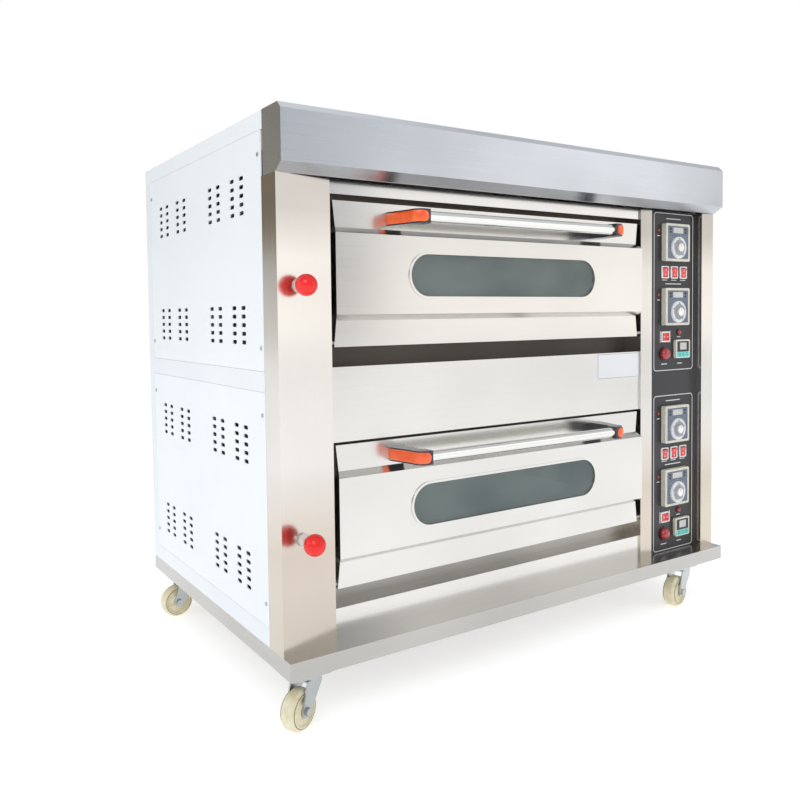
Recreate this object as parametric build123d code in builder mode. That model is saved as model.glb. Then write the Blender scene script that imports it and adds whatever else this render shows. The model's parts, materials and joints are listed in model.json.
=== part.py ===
from build123d import *
import math
import os

# A two-deck bakery oven on swivel casters, in millimetres.
# +X is to the right seen from the front, +Y is to the back, +Z is up.
# The origin is on the floor, under the middle of the whole oven.

# ---------------------------------------------------------------- driving dimensions
WIDTH = 1240.0
DEPTH = 805.0
SHEET = 2.0

BASE_HEIGHT = 33.0
BASE_SHEET = 3.0
BASE_CORNER_R = 2.0

DECK_PITCH = 461.0
DECKS = ("lower", "upper")
DOOR_SILL = 93.0
DOOR_HEIGHT = 275.0
LEDGE_DROP = 38.0
MIDDLE_GAP = 5.0
HEADER_GAP = 12.0
HEADER_HEIGHT = 25.0

OPENING_WIDTH = 871.0
OPENING_CENTRE = -67.5

FRONT_SETBACK = 27.0
COLUMN_SIDE = 60.0
COLUMN_SLANT = 18.0
PANEL_SETBACK = 59.0

HOOD_HEIGHT = 118.0
HOOD_BEVEL = 12.0
HOOD_LIP = 15.0
HOOD_SETBACK = 2.0
HOOD_STOP = 7.0

FRAME_TUBE = 36.0
FRAME_WALL = 2.0
FRONT_POST_DEPTH = 27.0
BAND_HEIGHT = 38.0
LID_SKIRT = 34.0
LID_FOLD_R = 1.5

POST_STRIP = 32.0
POST_SLANT = 7.5
POST_STEP = 4.5
PANEL_RECESS = 7.0
INSTRUMENT_WIDTH = 182.0
PANEL_THICKNESS = 2.4
PANEL_RETURN = 18.0
RIGHT_SLANT = 6.0

# doors
DOOR_SIDE_GAP = 9.5
DOOR_FLARE = 7.0
DOOR_TIP_FLARE = 1.75
DOOR_STRIP = 50.0
DOOR_BEVEL = 11.0
DOOR_FIELD_PROUD = 15.0
DOOR_DEPTH = 27.6
LINER_DEPTH = 18.0
LINER_LAP = 12.0
SEAL_GAP = 2.0
WINDOW_LENGTH = 516.0
WINDOW_HEIGHT = 84.0
WINDOW_RIM = 5.0
RIM_PROUD = 2.0
GLASS_LAP = 10.0
GLASS_THICKNESS = 4.0
HINGE_INSET = 7.6
HINGE_RISE = 8.0
HINGE_PIN_R = 4.0
HINGE_PIN_LENGTH = 48.0
HINGE_PIN_IN_JAMB = 12.0
HINGE_BLOCK = 20.0

# handles
HANDLE_TUBE_R = 11.0
HANDLE_TUBE_WALL = 1.5
HANDLE_SPAN = 514.0
HANDLE_REACH = 69.0
HANDLE_DROP = 29.0
SOCKET_DEPTH = 15.0
BRACKET_HALF_HEIGHT = 13.5
BRACKET_FOOT = 36.0
BRACKET_FOOT_IN = 9.5
BRACKET_NOSE_IN = 14.0
BRACKET_CORNER_R = 20.0
BRACKET_HEEL = 6.75
CAP_THICKNESS = 3.0
CAP_HALF_HEIGHT = 11.0

# chamber
MOUTH_LAP = 10.5
CHAMBER_HEIGHT = 240.0
CHAMBER_DEPTH = 606.0
CHAMBER_RISE = 12.0
CHAMBER_WALL = 3.0
INSULATION = 50.0
HEARTH_THICKNESS = 15.0
HEARTH_RISE = 28.0
HEARTH_GAP = 2.0
LEDGE_WIDTH = 14.0
LEDGE_THICKNESS = 4.0
ELEMENT_R = 4.5
ELEMENT_SLEEVE_GAP = 2.0
ELEMENTS_PER_LEVEL = 5
ELEMENT_SPACING = 120.0
ELEMENT_LEVELS = (13.0, 222.0)
TERMINAL_LENGTH = 22.0
LAMP_R = 22.0
LAMP_PROUD = 14.0
LAMP_INSET = 138.0
LAMP_RISE = 170.0

# damper pull rods
ROD_R = 5.0
ROD_X_INSET = 47.0
ROD_RISE = 114.0
BALL_R = 20.0
BALL_STANDOFF = 27.0
LOWER_ROD_PULLED = 16.0
BUSH_R = 12.0
BUSH_LENGTH = 14.0
BLADE_LENGTH = 70.0
BLADE_HEIGHT = 60.0
BLADE_THICKNESS = 2.0
BLADE_LAP = 0.4
VENT_R = 20.0

# instruments, placed from the middle of the instrument panel and from each door's sill
CONTROLLER_X = 2.0
CONTROLLER_SIZE = 94.0
CONTROLLER_PROUD = 13.0
CONTROLLER_BODY = 88.0
CONTROLLER_BODY_DEPTH = 70.0
CONTROLLER_RISES = (72.0, 234.0)
DIAL_R = 28.0
DIAL_DROP = 13.0
DIAL_THICKNESS = 4.0
DIAL_TAPER = 12.0
DIAL_KNOB_R = 11.0
DIAL_KNOB_HEIGHT = 6.0
DIAL_KNOB_TAPER = 4.0
DIAL_SHAFT_R = 3.0
DIAL_SHAFT_LENGTH = 12.0
DIAL_GAP = 0.5

ROCKER_RISE = 159.0
ROCKER_PITCH = 35.5
ROCKER_BEZEL = (27.0, 31.0)
ROCKER_KEY = (19.2, 22.0)
ROCKER_OPENING = (20.0, 25.4)
ROCKER_BODY = (22.0, 27.4)
ROCKER_PROUD = 3.0
ROCKER_BODY_DEPTH = 18.0
ROCKER_POCKET = 15.0
ROCKER_TILT = 7.0
ROCKER_PIVOT_R = 1.5
ROCKER_KEY_PROUD = 4.5
ROCKER_KEY_DISH = 1.5
ROCKER_KEY_SHOULDER = 4.0
ROCKER_KEY_DEPTH = 8.0
BEZEL_CORNER_R = 3.0
HOUSING_CORNER_R = 4.0
LIGHT_SWITCH_X = -32.0
LIGHT_SWITCH_RISE = -4.0

TIMER_X = 30.0
TIMER_RISE = -36.0
TIMER_SIZE = (56.0, 47.0)
TIMER_BODY = (50.0, 41.0)
TIMER_PROUD = 8.0
TIMER_BODY_DEPTH = 40.0

LAMP_SPOTS = (
    (-57.0, 263.0, 4.0, 2.5),
    (-57.0, 102.0, 4.0, 2.5),
    (22.0, 7.0, 6.5, 6.0),
    (-35.0, -47.0, 15.5, 14.0),
)
LAMP_BODY_DEPTH = 16.0
LAMP_SHANK = 0.8
LENS_ROUNDING = 0.85

# casters: each pivot's distance from the left or right, its distance from the front or back,
# and the heading of its trailing wheel in degrees
CASTERS = {
    "front_left": (-1, 44.0, -1, 28.0, 206.0),
    "front_right": (1, 136.0, -1, 28.0, 192.0),
    "rear_left": (-1, 44.0, 1, 109.5, 182.0),
    "rear_right": (1, 136.0, 1, 109.5, 187.0),
}
WHEEL_R = 37.5
WHEEL_WIDTH = 31.0
WHEEL_CHAMFER = 7.0
WHEEL_DISH = 3.0
HUB_R = 14.0
RIM_R = 28.0
CASTER_TRAIL = 25.0
CASTER_PLATE = (84.0, 52.0)
CASTER_PLATE_THICKNESS = 3.0
PLATE_CORNER_R = 6.0
CASTER_RACE_R = 24.0
CASTER_RACE_HEIGHT = 5.0
KING_PIN_R = 6.0
FORK_SHEET = 3.0
FORK_GAP = 1.5
CROWN_GAP = 11.0
FORK_TOP_R = 23.0
LEG_TOP_WIDTH = 41.0
LEG_TOP_HEIGHT = 12.0
KING_PIN_TAIL = 2.0
AXLE_R = 5.0
AXLE_BOSS_R = 12.0
BOLT_HEAD_R = 7.5
BOLT_HEAD_HEIGHT = 5.0
BOLT_GAP = 0.2

# side panels and their vent slots
VENT_SLOT = (22.0, 8.0)
VENT_ROWS = 5
VENT_ROW_PITCH = 16.5
VENT_COLUMNS = (82.0, 128.5, 204.5, 251.0)
VENT_BLOCK_LOW = 85.0
VENT_BLOCK_HIGH = 331.0
VENT_SHIFT = 4.5
SEAM = 1.0
SCREW_R = 4.0
SCREW_HEAD = 1.5
SCREW_SHANK_R = 2.0
SCREW_LENGTH = 8.0
SCREW_INSET = 12.0
SCREW_DROP = 43.0

GLAND_BORE_R = 9.0
GLAND_R = 15.0
GLAND_NUT_R = 19.0
GLAND_NUT_LENGTH = 9.0
GLAND_TAIL = 20.0
GLAND_RIGHT_INSET = 110.0
GLAND_RISE = 80.0

# clearances
RUNNING_FIT = 0.05
SWING_GAP = 0.4
BLIND = 0.5
WELD_GAP = 0.5

# ---------------------------------------------------------------- worked-out places
RIGHT = WIDTH / 2
LEFT = -WIDTH / 2
FRONT = -DEPTH / 2
BACK = DEPTH / 2
DOOR_WIDTH = OPENING_WIDTH - 2 * DOOR_SIDE_GAP
CHAMBER_WIDTH = OPENING_WIDTH - 2 * MOUTH_LAP
FORK_HIGH = 2 * WHEEL_R + CROWN_GAP + FORK_SHEET
PLATE_LOW = FORK_HIGH + CASTER_RACE_HEIGHT
CASTER_HEIGHT = PLATE_LOW + CASTER_PLATE_THICKNESS
BASE_TOP = CASTER_HEIGHT + BASE_HEIGHT
SILLS = {deck: BASE_TOP + DOOR_SILL + i * DECK_PITCH for i, deck in enumerate(DECKS)}
HEADER_LOW = SILLS["upper"] + DOOR_HEIGHT + HEADER_GAP
COLUMN_TOP = HEADER_LOW + HEADER_HEIGHT
HEIGHT = COLUMN_TOP + HOOD_HEIGHT

CORNER_Y = FRONT + FRONT_SETBACK
COLUMN_BACK = CORNER_Y + COLUMN_SIDE
OPENING_LEFT = OPENING_CENTRE - OPENING_WIDTH / 2
OPENING_RIGHT = OPENING_CENTRE + OPENING_WIDTH / 2
INFILL_Y = FRONT + PANEL_SETBACK
DOOR_Y = INFILL_Y - SEAL_GAP
MOUTH_Y = INFILL_Y - SEAL_GAP + DOOR_DEPTH + LINER_DEPTH + SEAL_GAP
FIELD_Y = DOOR_Y - DOOR_FIELD_PROUD
HINGE_Y = DOOR_Y + HINGE_INSET

RECESS_LEFT = OPENING_RIGHT + POST_STRIP
RECESS_RIGHT = RECESS_LEFT + INSTRUMENT_WIDTH
POST_Y = INFILL_Y - POST_SLANT - POST_STEP
PANEL_Y = POST_Y + PANEL_RECESS
RECESS_Y = PANEL_Y + PANEL_THICKNESS
RETURN_Y = PANEL_Y - PANEL_RETURN
PANEL_CENTRE = (RECESS_LEFT + RECESS_RIGHT) / 2

LID_LOW = HEIGHT - LID_SKIRT
HOOD_FRONT = FRONT + HOOD_SETBACK
HOOD_BACK = COLUMN_BACK - HOOD_STOP
SIDE_LOW = BASE_TOP + FRAME_TUBE
SIDE_HEIGHT = (LID_LOW - SIDE_LOW - BAND_HEIGHT) / 2
BAND_LOW = SIDE_LOW + SIDE_HEIGHT
PANEL_LOWS = (SIDE_LOW, BAND_LOW + BAND_HEIGHT)
POST_BACK = BACK - FRAME_TUBE
SIDE_MIDDLE = (COLUMN_BACK + POST_BACK) / 2
SIDE_RUN = POST_BACK - COLUMN_BACK

HANDLE_Y = DOOR_Y - HANDLE_REACH
HANDLE_OVERHANG = FRONT - (HANDLE_Y - BRACKET_HALF_HEIGHT - CAP_THICKNESS)
CHAMBER_LEFT = OPENING_CENTRE - CHAMBER_WIDTH / 2
CHAMBER_RIGHT = OPENING_CENTRE + CHAMBER_WIDTH / 2
CHAMBER_BACK = MOUTH_Y + CHAMBER_DEPTH
CHAMBER_MIDDLE = (MOUTH_Y + CHAMBER_BACK) / 2
LAMP_Y = CHAMBER_BACK - LAMP_INSET
ROD_X = LEFT + ROD_X_INSET
ROD_FACE_Y = CORNER_Y + COLUMN_SLANT * ROD_X_INSET / (OPENING_LEFT - LEFT)
BLADE_FRONT = CHAMBER_MIDDLE - VENT_R - BLADE_LAP
ROD_LENGTH = BLADE_FRONT + BLADE_LENGTH - (ROD_FACE_Y - BALL_STANDOFF)

# instrument places on the panel: x from the panel's middle, and z
controller_spots = [
    (CONTROLLER_X, sill + rise) for sill in SILLS.values() for rise in CONTROLLER_RISES
]
timer_spots = [(TIMER_X, sill + TIMER_RISE) for sill in SILLS.values()]
heat_rocker_spots = {
    f"{deck}_{name}_rocker": (CONTROLLER_X + i * ROCKER_PITCH, SILLS[deck] + ROCKER_RISE)
    for deck in DECKS
    for i, name in ((-1, "top_heat"), (0, "power"), (1, "bottom_heat"))
}
light_switch_spots = {
    f"{deck}_light_switch": (LIGHT_SWITCH_X, SILLS[deck] + LIGHT_SWITCH_RISE) for deck in DECKS
}
lamp_spots = [(x, sill + z, r, proud) for sill in SILLS.values() for x, z, r, proud in LAMP_SPOTS]

os.makedirs("parts", exist_ok=True)


def facing_front(y, x=0.0, z=0.0):
    """A plane that faces the front: its x is +X, its y is +Z and it extrudes towards -Y."""
    return Plane(origin=(x, y, z), x_dir=(1, 0, 0), z_dir=(0, -1, 0))


def facing_right(x, y=0.0, z=0.0):
    """A plane that faces the right side: its x is +Y, its y is +Z and it extrudes towards +X."""
    return Plane(origin=(x, y, z), x_dir=(0, 1, 0), z_dir=(1, 0, 0))


def finish(piece, name):
    """Label a finished piece and write it to its own file."""
    piece.part.label = name
    export_step(piece.part, f"parts/{name}.step")


def box_between(low, high, mode=Mode.ADD):
    """A box from its lowest corner to its highest corner."""
    size = [end - start for start, end in zip(low, high)]
    middle = [(start + end) / 2 for start, end in zip(low, high)]
    with Locations(tuple(middle)):
        Box(*size, mode=mode)


def rod_along_x(x0, x1, y, z, radius, mode=Mode.ADD):
    """A cylinder along X."""
    with Locations(((x0 + x1) / 2, y, z)):
        Cylinder(radius, x1 - x0, rotation=(0, 90, 0), mode=mode)


def rod_along_y(y0, y1, x, z, radius, mode=Mode.ADD):
    """A cylinder along Y, from the front y0 to the back y1."""
    with Locations((x, (y0 + y1) / 2, z)):
        Cylinder(radius, y1 - y0, rotation=(90, 0, 0), mode=mode)


# ---------------------------------------------------------------- base and frame
with BuildPart() as base_frame:
    with BuildSketch(Plane.XY.offset(CASTER_HEIGHT)):
        Rectangle(WIDTH, DEPTH)
    extrude(amount=BASE_HEIGHT)
    with BuildSketch(Plane.XY.offset(CASTER_HEIGHT)):
        Rectangle(WIDTH - 2 * BASE_SHEET, DEPTH - 2 * BASE_SHEET)
    extrude(amount=BASE_HEIGHT - BASE_SHEET, mode=Mode.SUBTRACT)
    fillet(base_frame.edges().filter_by(Axis.Z).group_by(SortBy.LENGTH)[-1], BASE_CORNER_R)
    with BuildSketch(Plane.XY.offset(CASTER_HEIGHT)):
        Rectangle(WIDTH - 2 * BASE_SHEET - SEAM, DEPTH - 2 * BASE_SHEET - SEAM)
    extrude(amount=BASE_SHEET)
finish(base_frame, "base_frame")

with BuildPart() as carcass_frame:
    side_rails = (
        (BASE_TOP, FRAME_TUBE, 0.0),
        (BAND_LOW, BAND_HEIGHT, 0.0),
        (LID_LOW - FRAME_TUBE, FRAME_TUBE, SHEET + SEAM),
    )
    front_post_x = RIGHT - FRAME_TUBE / 2 - SHEET - SEAM
    front_post_y = COLUMN_BACK - FRONT_POST_DEPTH / 2 - SEAM
    rear_post_x = RIGHT - FRAME_TUBE / 2
    rear_post_y = BACK - FRAME_TUBE / 2
    for side in (-1, 1):
        for x, y, depth in (
            (side * front_post_x, front_post_y, FRONT_POST_DEPTH),
            (side * rear_post_x, rear_post_y, FRAME_TUBE),
        ):
            with BuildSketch(Plane.XY.offset(BASE_TOP)):
                with Locations((x, y)):
                    Rectangle(FRAME_TUBE, depth)
                    Rectangle(FRAME_TUBE - 2 * FRAME_WALL, depth - 2 * FRAME_WALL, mode=Mode.SUBTRACT)
            extrude(amount=LID_LOW - BASE_TOP)
    for low, height, inset in side_rails:
        for side in (-1, 1):
            x = side * (RIGHT - inset - FRAME_TUBE / 2)
            with BuildSketch(facing_front(POST_BACK - WELD_GAP, x, low + height / 2)):
                Rectangle(FRAME_TUBE, height)
                Rectangle(FRAME_TUBE - 2 * FRAME_WALL, height - 2 * FRAME_WALL, mode=Mode.SUBTRACT)
            extrude(amount=SIDE_RUN - 2 * WELD_GAP)
        rear_rail_half = rear_post_x - FRAME_TUBE / 2 - inset - WELD_GAP
        with BuildSketch(facing_right(-rear_rail_half, rear_post_y - inset, low + height / 2)):
            Rectangle(FRAME_TUBE, height)
            Rectangle(FRAME_TUBE - 2 * FRAME_WALL, height - 2 * FRAME_WALL, mode=Mode.SUBTRACT)
        extrude(amount=2 * rear_rail_half)
finish(carcass_frame, "carcass_frame")


def folded_column(corners):
    """A tall folded sheet, open at its ends and along its back, from its plan outline."""
    with BuildPart() as column:
        with BuildSketch(Plane.XY.offset(BASE_TOP)):
            with BuildLine():
                Polyline(*corners, close=True)
            make_face()
        extrude(amount=COLUMN_TOP - BASE_TOP)
        back_middle = (Vector(*corners[0]) + Vector(*corners[-1])) / 2
        ends = column.faces().filter_by(Axis.Z)
        back = column.faces().filter_by(Plane.XY, reverse=True).sort_by_distance(
            back_middle + Vector(0, 0, (BASE_TOP + COLUMN_TOP) / 2)
        )[0]
        offset(amount=-SHEET, openings=[*ends, back], kind=Kind.INTERSECTION)
    return column


left_sheet = folded_column([
    (LEFT, COLUMN_BACK),
    (LEFT, CORNER_Y),
    (OPENING_LEFT, CORNER_Y + COLUMN_SLANT),
    (OPENING_LEFT, MOUTH_Y),
])
right_sheet = folded_column([
    (OPENING_RIGHT, MOUTH_Y),
    (OPENING_RIGHT, INFILL_Y - POST_STEP),
    (RECESS_LEFT, POST_Y),
    (RECESS_LEFT, RECESS_Y),
    (RECESS_RIGHT, RECESS_Y),
    (RECESS_RIGHT, RETURN_Y),
    (RIGHT, RETURN_Y - RIGHT_SLANT),
    (RIGHT, COLUMN_BACK),
])


def instrument_holes(y):
    """Draw every instrument's hole on a sheet whose front is at y."""
    with BuildSketch(facing_front(y, PANEL_CENTRE)) as holes:
        with Locations(*controller_spots):
            Rectangle(CONTROLLER_BODY, CONTROLLER_BODY)
        with Locations(*timer_spots):
            Rectangle(*TIMER_BODY)
        with Locations(*heat_rocker_spots.values()):
            Rectangle(*ROCKER_BODY)
        with Locations(*light_switch_spots.values()):
            Rectangle(ROCKER_BODY[1], ROCKER_BODY[0])
        for x, z, radius, _ in lamp_spots:
            with Locations((x, z)):
                Circle(radius * LAMP_SHANK)
    return holes.sketch


column_holes = instrument_holes(RECESS_Y)
panel_holes = instrument_holes(PANEL_Y)

with BuildPart() as left_column:
    add(left_sheet.part)
    for sill in SILLS.values():
        rod_along_y(
            ROD_FACE_Y - BUSH_LENGTH,
            ROD_FACE_Y + 2 * BUSH_LENGTH,
            ROD_X,
            sill + ROD_RISE,
            BUSH_R,
            mode=Mode.SUBTRACT,
        )
        rod_along_x(
            OPENING_LEFT - POST_STRIP,
            OPENING_LEFT,
            HINGE_Y,
            sill + HINGE_RISE,
            HINGE_PIN_R,
            mode=Mode.SUBTRACT,
        )
finish(left_column, "left_column")

with BuildPart() as right_column:
    add(right_sheet.part)
    extrude(column_holes, amount=-SHEET, mode=Mode.SUBTRACT)
    for sill in SILLS.values():
        rod_along_x(
            OPENING_RIGHT,
            OPENING_RIGHT + POST_STRIP / 2,
            HINGE_Y,
            sill + HINGE_RISE,
            HINGE_PIN_R,
            mode=Mode.SUBTRACT,
        )
finish(right_column, "right_column")

with BuildPart() as control_panel:
    box_between((RECESS_LEFT, PANEL_Y, BASE_TOP), (RECESS_RIGHT, RECESS_Y, COLUMN_TOP))
    extrude(panel_holes, amount=-PANEL_THICKNESS, mode=Mode.SUBTRACT)
finish(control_panel, "control_panel")

# ---------------------------------------------------------------- outer panels
with BuildPart() as hood:
    with BuildSketch(facing_right(LEFT)):
        with BuildLine():
            Polyline(
                (HOOD_BACK, COLUMN_TOP),
                (CORNER_Y, COLUMN_TOP),
                (HOOD_FRONT, COLUMN_TOP + HOOD_LIP),
                (HOOD_FRONT, HEIGHT - HOOD_BEVEL),
                (HOOD_FRONT + HOOD_BEVEL, HEIGHT),
                (HOOD_BACK, HEIGHT),
                close=True,
            )
        make_face()
    extrude(amount=WIDTH)
    hood_open = [
        hood.faces().filter_by(Axis.Z).sort_by(Axis.Z)[0],
        hood.faces().filter_by(Axis.Y).sort_by(Axis.Y)[-1],
    ]
    offset(amount=-SHEET, openings=hood_open, kind=Kind.INTERSECTION)
finish(hood, "hood")

with BuildPart() as top_cover:
    box_between((LEFT, HOOD_BACK + SEAM, LID_LOW), (RIGHT, BACK, HEIGHT))
    lid_open = [
        top_cover.faces().filter_by(Axis.Z).sort_by(Axis.Z)[0],
        top_cover.faces().filter_by(Axis.Y).sort_by(Axis.Y)[0],
    ]
    offset(amount=-SHEET, openings=lid_open, kind=Kind.INTERSECTION)
    fillet(top_cover.edges().filter_by(Axis.Y).group_by(Axis.Z)[-1].sort_by(Axis.X)[0], LID_FOLD_R)
    fillet(top_cover.edges().filter_by(Axis.Y).group_by(Axis.Z)[-1].sort_by(Axis.X)[-1], LID_FOLD_R)
finish(top_cover, "top_cover")


def side_panels(side):
    """The lower and the upper side panel of one side, with their vent slots."""
    with BuildPart() as panels:
        for low in PANEL_LOWS:
            box_between(
                (side * RIGHT - max(side, 0) * SHEET, COLUMN_BACK + SEAM, low + SEAM / 2),
                (side * RIGHT - min(side, 0) * SHEET, POST_BACK - SEAM, low + SIDE_HEIGHT - SEAM / 2),
            )
            with BuildSketch(facing_right(side * RIGHT, SIDE_MIDDLE + VENT_SHIFT, low)):
                for block in (VENT_BLOCK_LOW, VENT_BLOCK_HIGH):
                    for column in VENT_COLUMNS:
                        with Locations((-column, block), (column, block)):
                            with GridLocations(0, VENT_ROW_PITCH, 1, VENT_ROWS):
                                SlotOverall(*VENT_SLOT)
            extrude(amount=SHEET, both=True, mode=Mode.SUBTRACT)
            with BuildSketch(facing_right(side * RIGHT)):
                with Locations(*screw_spots(low)):
                    Circle(SCREW_SHANK_R)
            extrude(amount=SHEET, both=True, mode=Mode.SUBTRACT)
    return panels


def screw_spots(low):
    """Where the four screws of a side panel go, as y and z."""
    return [
        (y, z)
        for y in (COLUMN_BACK + SEAM + SCREW_INSET, POST_BACK - SEAM - SCREW_INSET)
        for z in (low + SCREW_DROP, low + SIDE_HEIGHT - SCREW_DROP)
    ]


left_side_panels = side_panels(-1)
finish(left_side_panels, "left_side_panels")
right_side_panels = side_panels(1)
finish(right_side_panels, "right_side_panels")

with BuildPart() as panel_screws:
    for side in (-1, 1):
        for low in PANEL_LOWS:
            for y, z in screw_spots(low):
                with BuildSketch(facing_right(side * RIGHT, y, z)):
                    Circle(SCREW_R)
                extrude(amount=side * SCREW_HEAD)
                with BuildSketch(facing_right(side * RIGHT, y, z)):
                    Circle(SCREW_SHANK_R)
                extrude(amount=-side * SCREW_LENGTH)
finish(panel_screws, "panel_screws")

gland_x = RIGHT - GLAND_RIGHT_INSET
gland_z = SIDE_LOW + GLAND_RISE
with BuildPart() as rear_covers:
    for low in PANEL_LOWS:
        box_between(
            (-RIGHT + FRAME_TUBE + SEAM, BACK - SHEET, low + SEAM / 2),
            (RIGHT - FRAME_TUBE - SEAM, BACK, low + SIDE_HEIGHT - SEAM / 2),
        )
        with BuildSketch(facing_front(BACK, 0, low + VENT_BLOCK_HIGH)):
            for column in VENT_COLUMNS:
                with Locations((-column, 0), (column, 0)):
                    with GridLocations(0, VENT_ROW_PITCH, 1, VENT_ROWS):
                        SlotOverall(*VENT_SLOT)
        extrude(amount=SHEET, both=True, mode=Mode.SUBTRACT)
    rod_along_y(BACK - 2 * SHEET, BACK + SHEET, gland_x, gland_z, GLAND_R, mode=Mode.SUBTRACT)
finish(rear_covers, "rear_covers")

with BuildPart() as power_inlet:
    rod_along_y(BACK - GLAND_TAIL, BACK + HANDLE_OVERHANG, gland_x, gland_z, GLAND_R)
    with BuildSketch(facing_front(BACK + GLAND_NUT_LENGTH, gland_x, gland_z)):
        RegularPolygon(GLAND_NUT_R, 6)
    extrude(amount=GLAND_NUT_LENGTH)
    with BuildSketch(facing_front(BACK - SHEET, gland_x, gland_z)):
        RegularPolygon(GLAND_NUT_R, 6)
    extrude(amount=GLAND_NUT_LENGTH)
    rod_along_y(
        BACK - GLAND_TAIL,
        BACK + HANDLE_OVERHANG,
        gland_x,
        gland_z,
        GLAND_BORE_R,
        mode=Mode.SUBTRACT,
    )
finish(power_inlet, "power_inlet")


def infill_panel(low, high, ledges):
    """A front strip between the columns, folded back to the oven mouth at the named edges."""
    box_between((OPENING_LEFT, INFILL_Y, low), (OPENING_RIGHT, INFILL_Y + SHEET, high))
    if "top" in ledges:
        box_between((OPENING_LEFT, INFILL_Y, high - SHEET), (OPENING_RIGHT, MOUTH_Y, high))
    if "bottom" in ledges:
        box_between((OPENING_LEFT, INFILL_Y, low), (OPENING_RIGHT, MOUTH_Y, low + SHEET))


with BuildPart() as front_panels:
    infill_panel(BASE_TOP, SILLS["lower"] - LEDGE_DROP, ("top",))
    infill_panel(
        SILLS["lower"] + DOOR_HEIGHT + MIDDLE_GAP,
        SILLS["upper"] - LEDGE_DROP,
        ("top", "bottom"),
    )
    infill_panel(HEADER_LOW, COLUMN_TOP, ("bottom",))
finish(front_panels, "front_panels")

# ---------------------------------------------------------------- ovens
element_ys = [
    CHAMBER_MIDDLE + (i - (ELEMENTS_PER_LEVEL - 1) / 2) * ELEMENT_SPACING
    for i in range(ELEMENTS_PER_LEVEL)
]


def element_holes(sill, radius):
    """Holes across the chamber for the heating elements."""
    for level in ELEMENT_LEVELS:
        for y in element_ys:
            z = sill + CHAMBER_RISE + level
            rod_along_x(
                CHAMBER_LEFT - TERMINAL_LENGTH,
                CHAMBER_RIGHT + INSULATION + TERMINAL_LENGTH,
                y,
                z,
                radius,
                mode=Mode.SUBTRACT,
            )


with BuildPart() as oven_chambers:
    inner_left = CHAMBER_LEFT + CHAMBER_WALL
    inner_right = CHAMBER_RIGHT - CHAMBER_WALL
    plate_front = MOUTH_Y + SHEET + WELD_GAP
    back_inside = CHAMBER_BACK - CHAMBER_WALL
    for sill in SILLS.values():
        low = sill + CHAMBER_RISE
        high = low + CHAMBER_HEIGHT
        wall_low = low + CHAMBER_WALL
        wall_high = high - CHAMBER_WALL
        box_between((CHAMBER_LEFT, plate_front, low), (CHAMBER_RIGHT, CHAMBER_BACK, wall_low))
        box_between((CHAMBER_LEFT, plate_front, wall_high), (CHAMBER_RIGHT, CHAMBER_BACK, high))
        box_between(
            (CHAMBER_LEFT, back_inside, wall_low + WELD_GAP),
            (CHAMBER_RIGHT, CHAMBER_BACK, wall_high - WELD_GAP),
        )
        for x0, x1 in ((CHAMBER_LEFT, inner_left), (inner_right, CHAMBER_RIGHT)):
            box_between(
                (x0, plate_front, wall_low + WELD_GAP),
                (x1, back_inside - WELD_GAP, wall_high - WELD_GAP),
            )
        ledge_low = sill + HEARTH_RISE + CHAMBER_RISE - LEDGE_THICKNESS
        for x0, x1 in (
            (inner_left + WELD_GAP, inner_left + LEDGE_WIDTH),
            (inner_right - LEDGE_WIDTH, inner_right - WELD_GAP),
        ):
            box_between(
                (x0, plate_front, ledge_low),
                (x1, back_inside - WELD_GAP, ledge_low + LEDGE_THICKNESS),
            )
        mouth_back = MOUTH_Y + SHEET
        mouth_low = sill - LEDGE_DROP - SEAM
        mouth_high = sill + DOOR_HEIGHT + HEADER_GAP + SEAM
        box_between((OPENING_LEFT, MOUTH_Y, mouth_low), (OPENING_RIGHT, mouth_back, wall_low))
        box_between((OPENING_LEFT, MOUTH_Y, wall_high), (OPENING_RIGHT, mouth_back, mouth_high))
        for x0, x1 in ((OPENING_LEFT, inner_left), (inner_right, OPENING_RIGHT)):
            box_between(
                (x0, MOUTH_Y, wall_low + WELD_GAP),
                (x1, mouth_back, wall_high - WELD_GAP),
            )
        element_holes(sill, ELEMENT_R)
        rod_along_x(
            CHAMBER_LEFT - CHAMBER_WALL,
            CHAMBER_LEFT + 2 * CHAMBER_WALL,
            CHAMBER_MIDDLE,
            sill + ROD_RISE,
            VENT_R,
            mode=Mode.SUBTRACT,
        )
        rod_along_x(
            CHAMBER_RIGHT - 2 * CHAMBER_WALL,
            CHAMBER_RIGHT + CHAMBER_WALL,
            LAMP_Y,
            sill + LAMP_RISE,
            LAMP_R,
            mode=Mode.SUBTRACT,
        )
finish(oven_chambers, "oven_chambers")

with BuildPart() as insulation:
    for sill in SILLS.values():
        low = sill + CHAMBER_RISE
        high = low + CHAMBER_HEIGHT
        box_between(
            (CHAMBER_LEFT - INSULATION, MOUTH_Y + SHEET, low - INSULATION),
            (CHAMBER_RIGHT + INSULATION, CHAMBER_BACK + INSULATION, high + INSULATION),
        )
        box_between(
            (CHAMBER_LEFT, MOUTH_Y, low),
            (CHAMBER_RIGHT, CHAMBER_BACK, high),
            mode=Mode.SUBTRACT,
        )
        element_holes(sill, ELEMENT_R + ELEMENT_SLEEVE_GAP)
        rod_along_x(
            CHAMBER_LEFT - 2 * INSULATION,
            CHAMBER_LEFT,
            CHAMBER_MIDDLE,
            sill + ROD_RISE,
            VENT_R,
            mode=Mode.SUBTRACT,
        )
        rod_along_x(
            CHAMBER_RIGHT,
            CHAMBER_RIGHT + 2 * INSULATION,
            LAMP_Y,
            sill + LAMP_RISE,
            LAMP_R,
            mode=Mode.SUBTRACT,
        )
finish(insulation, "insulation")

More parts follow.
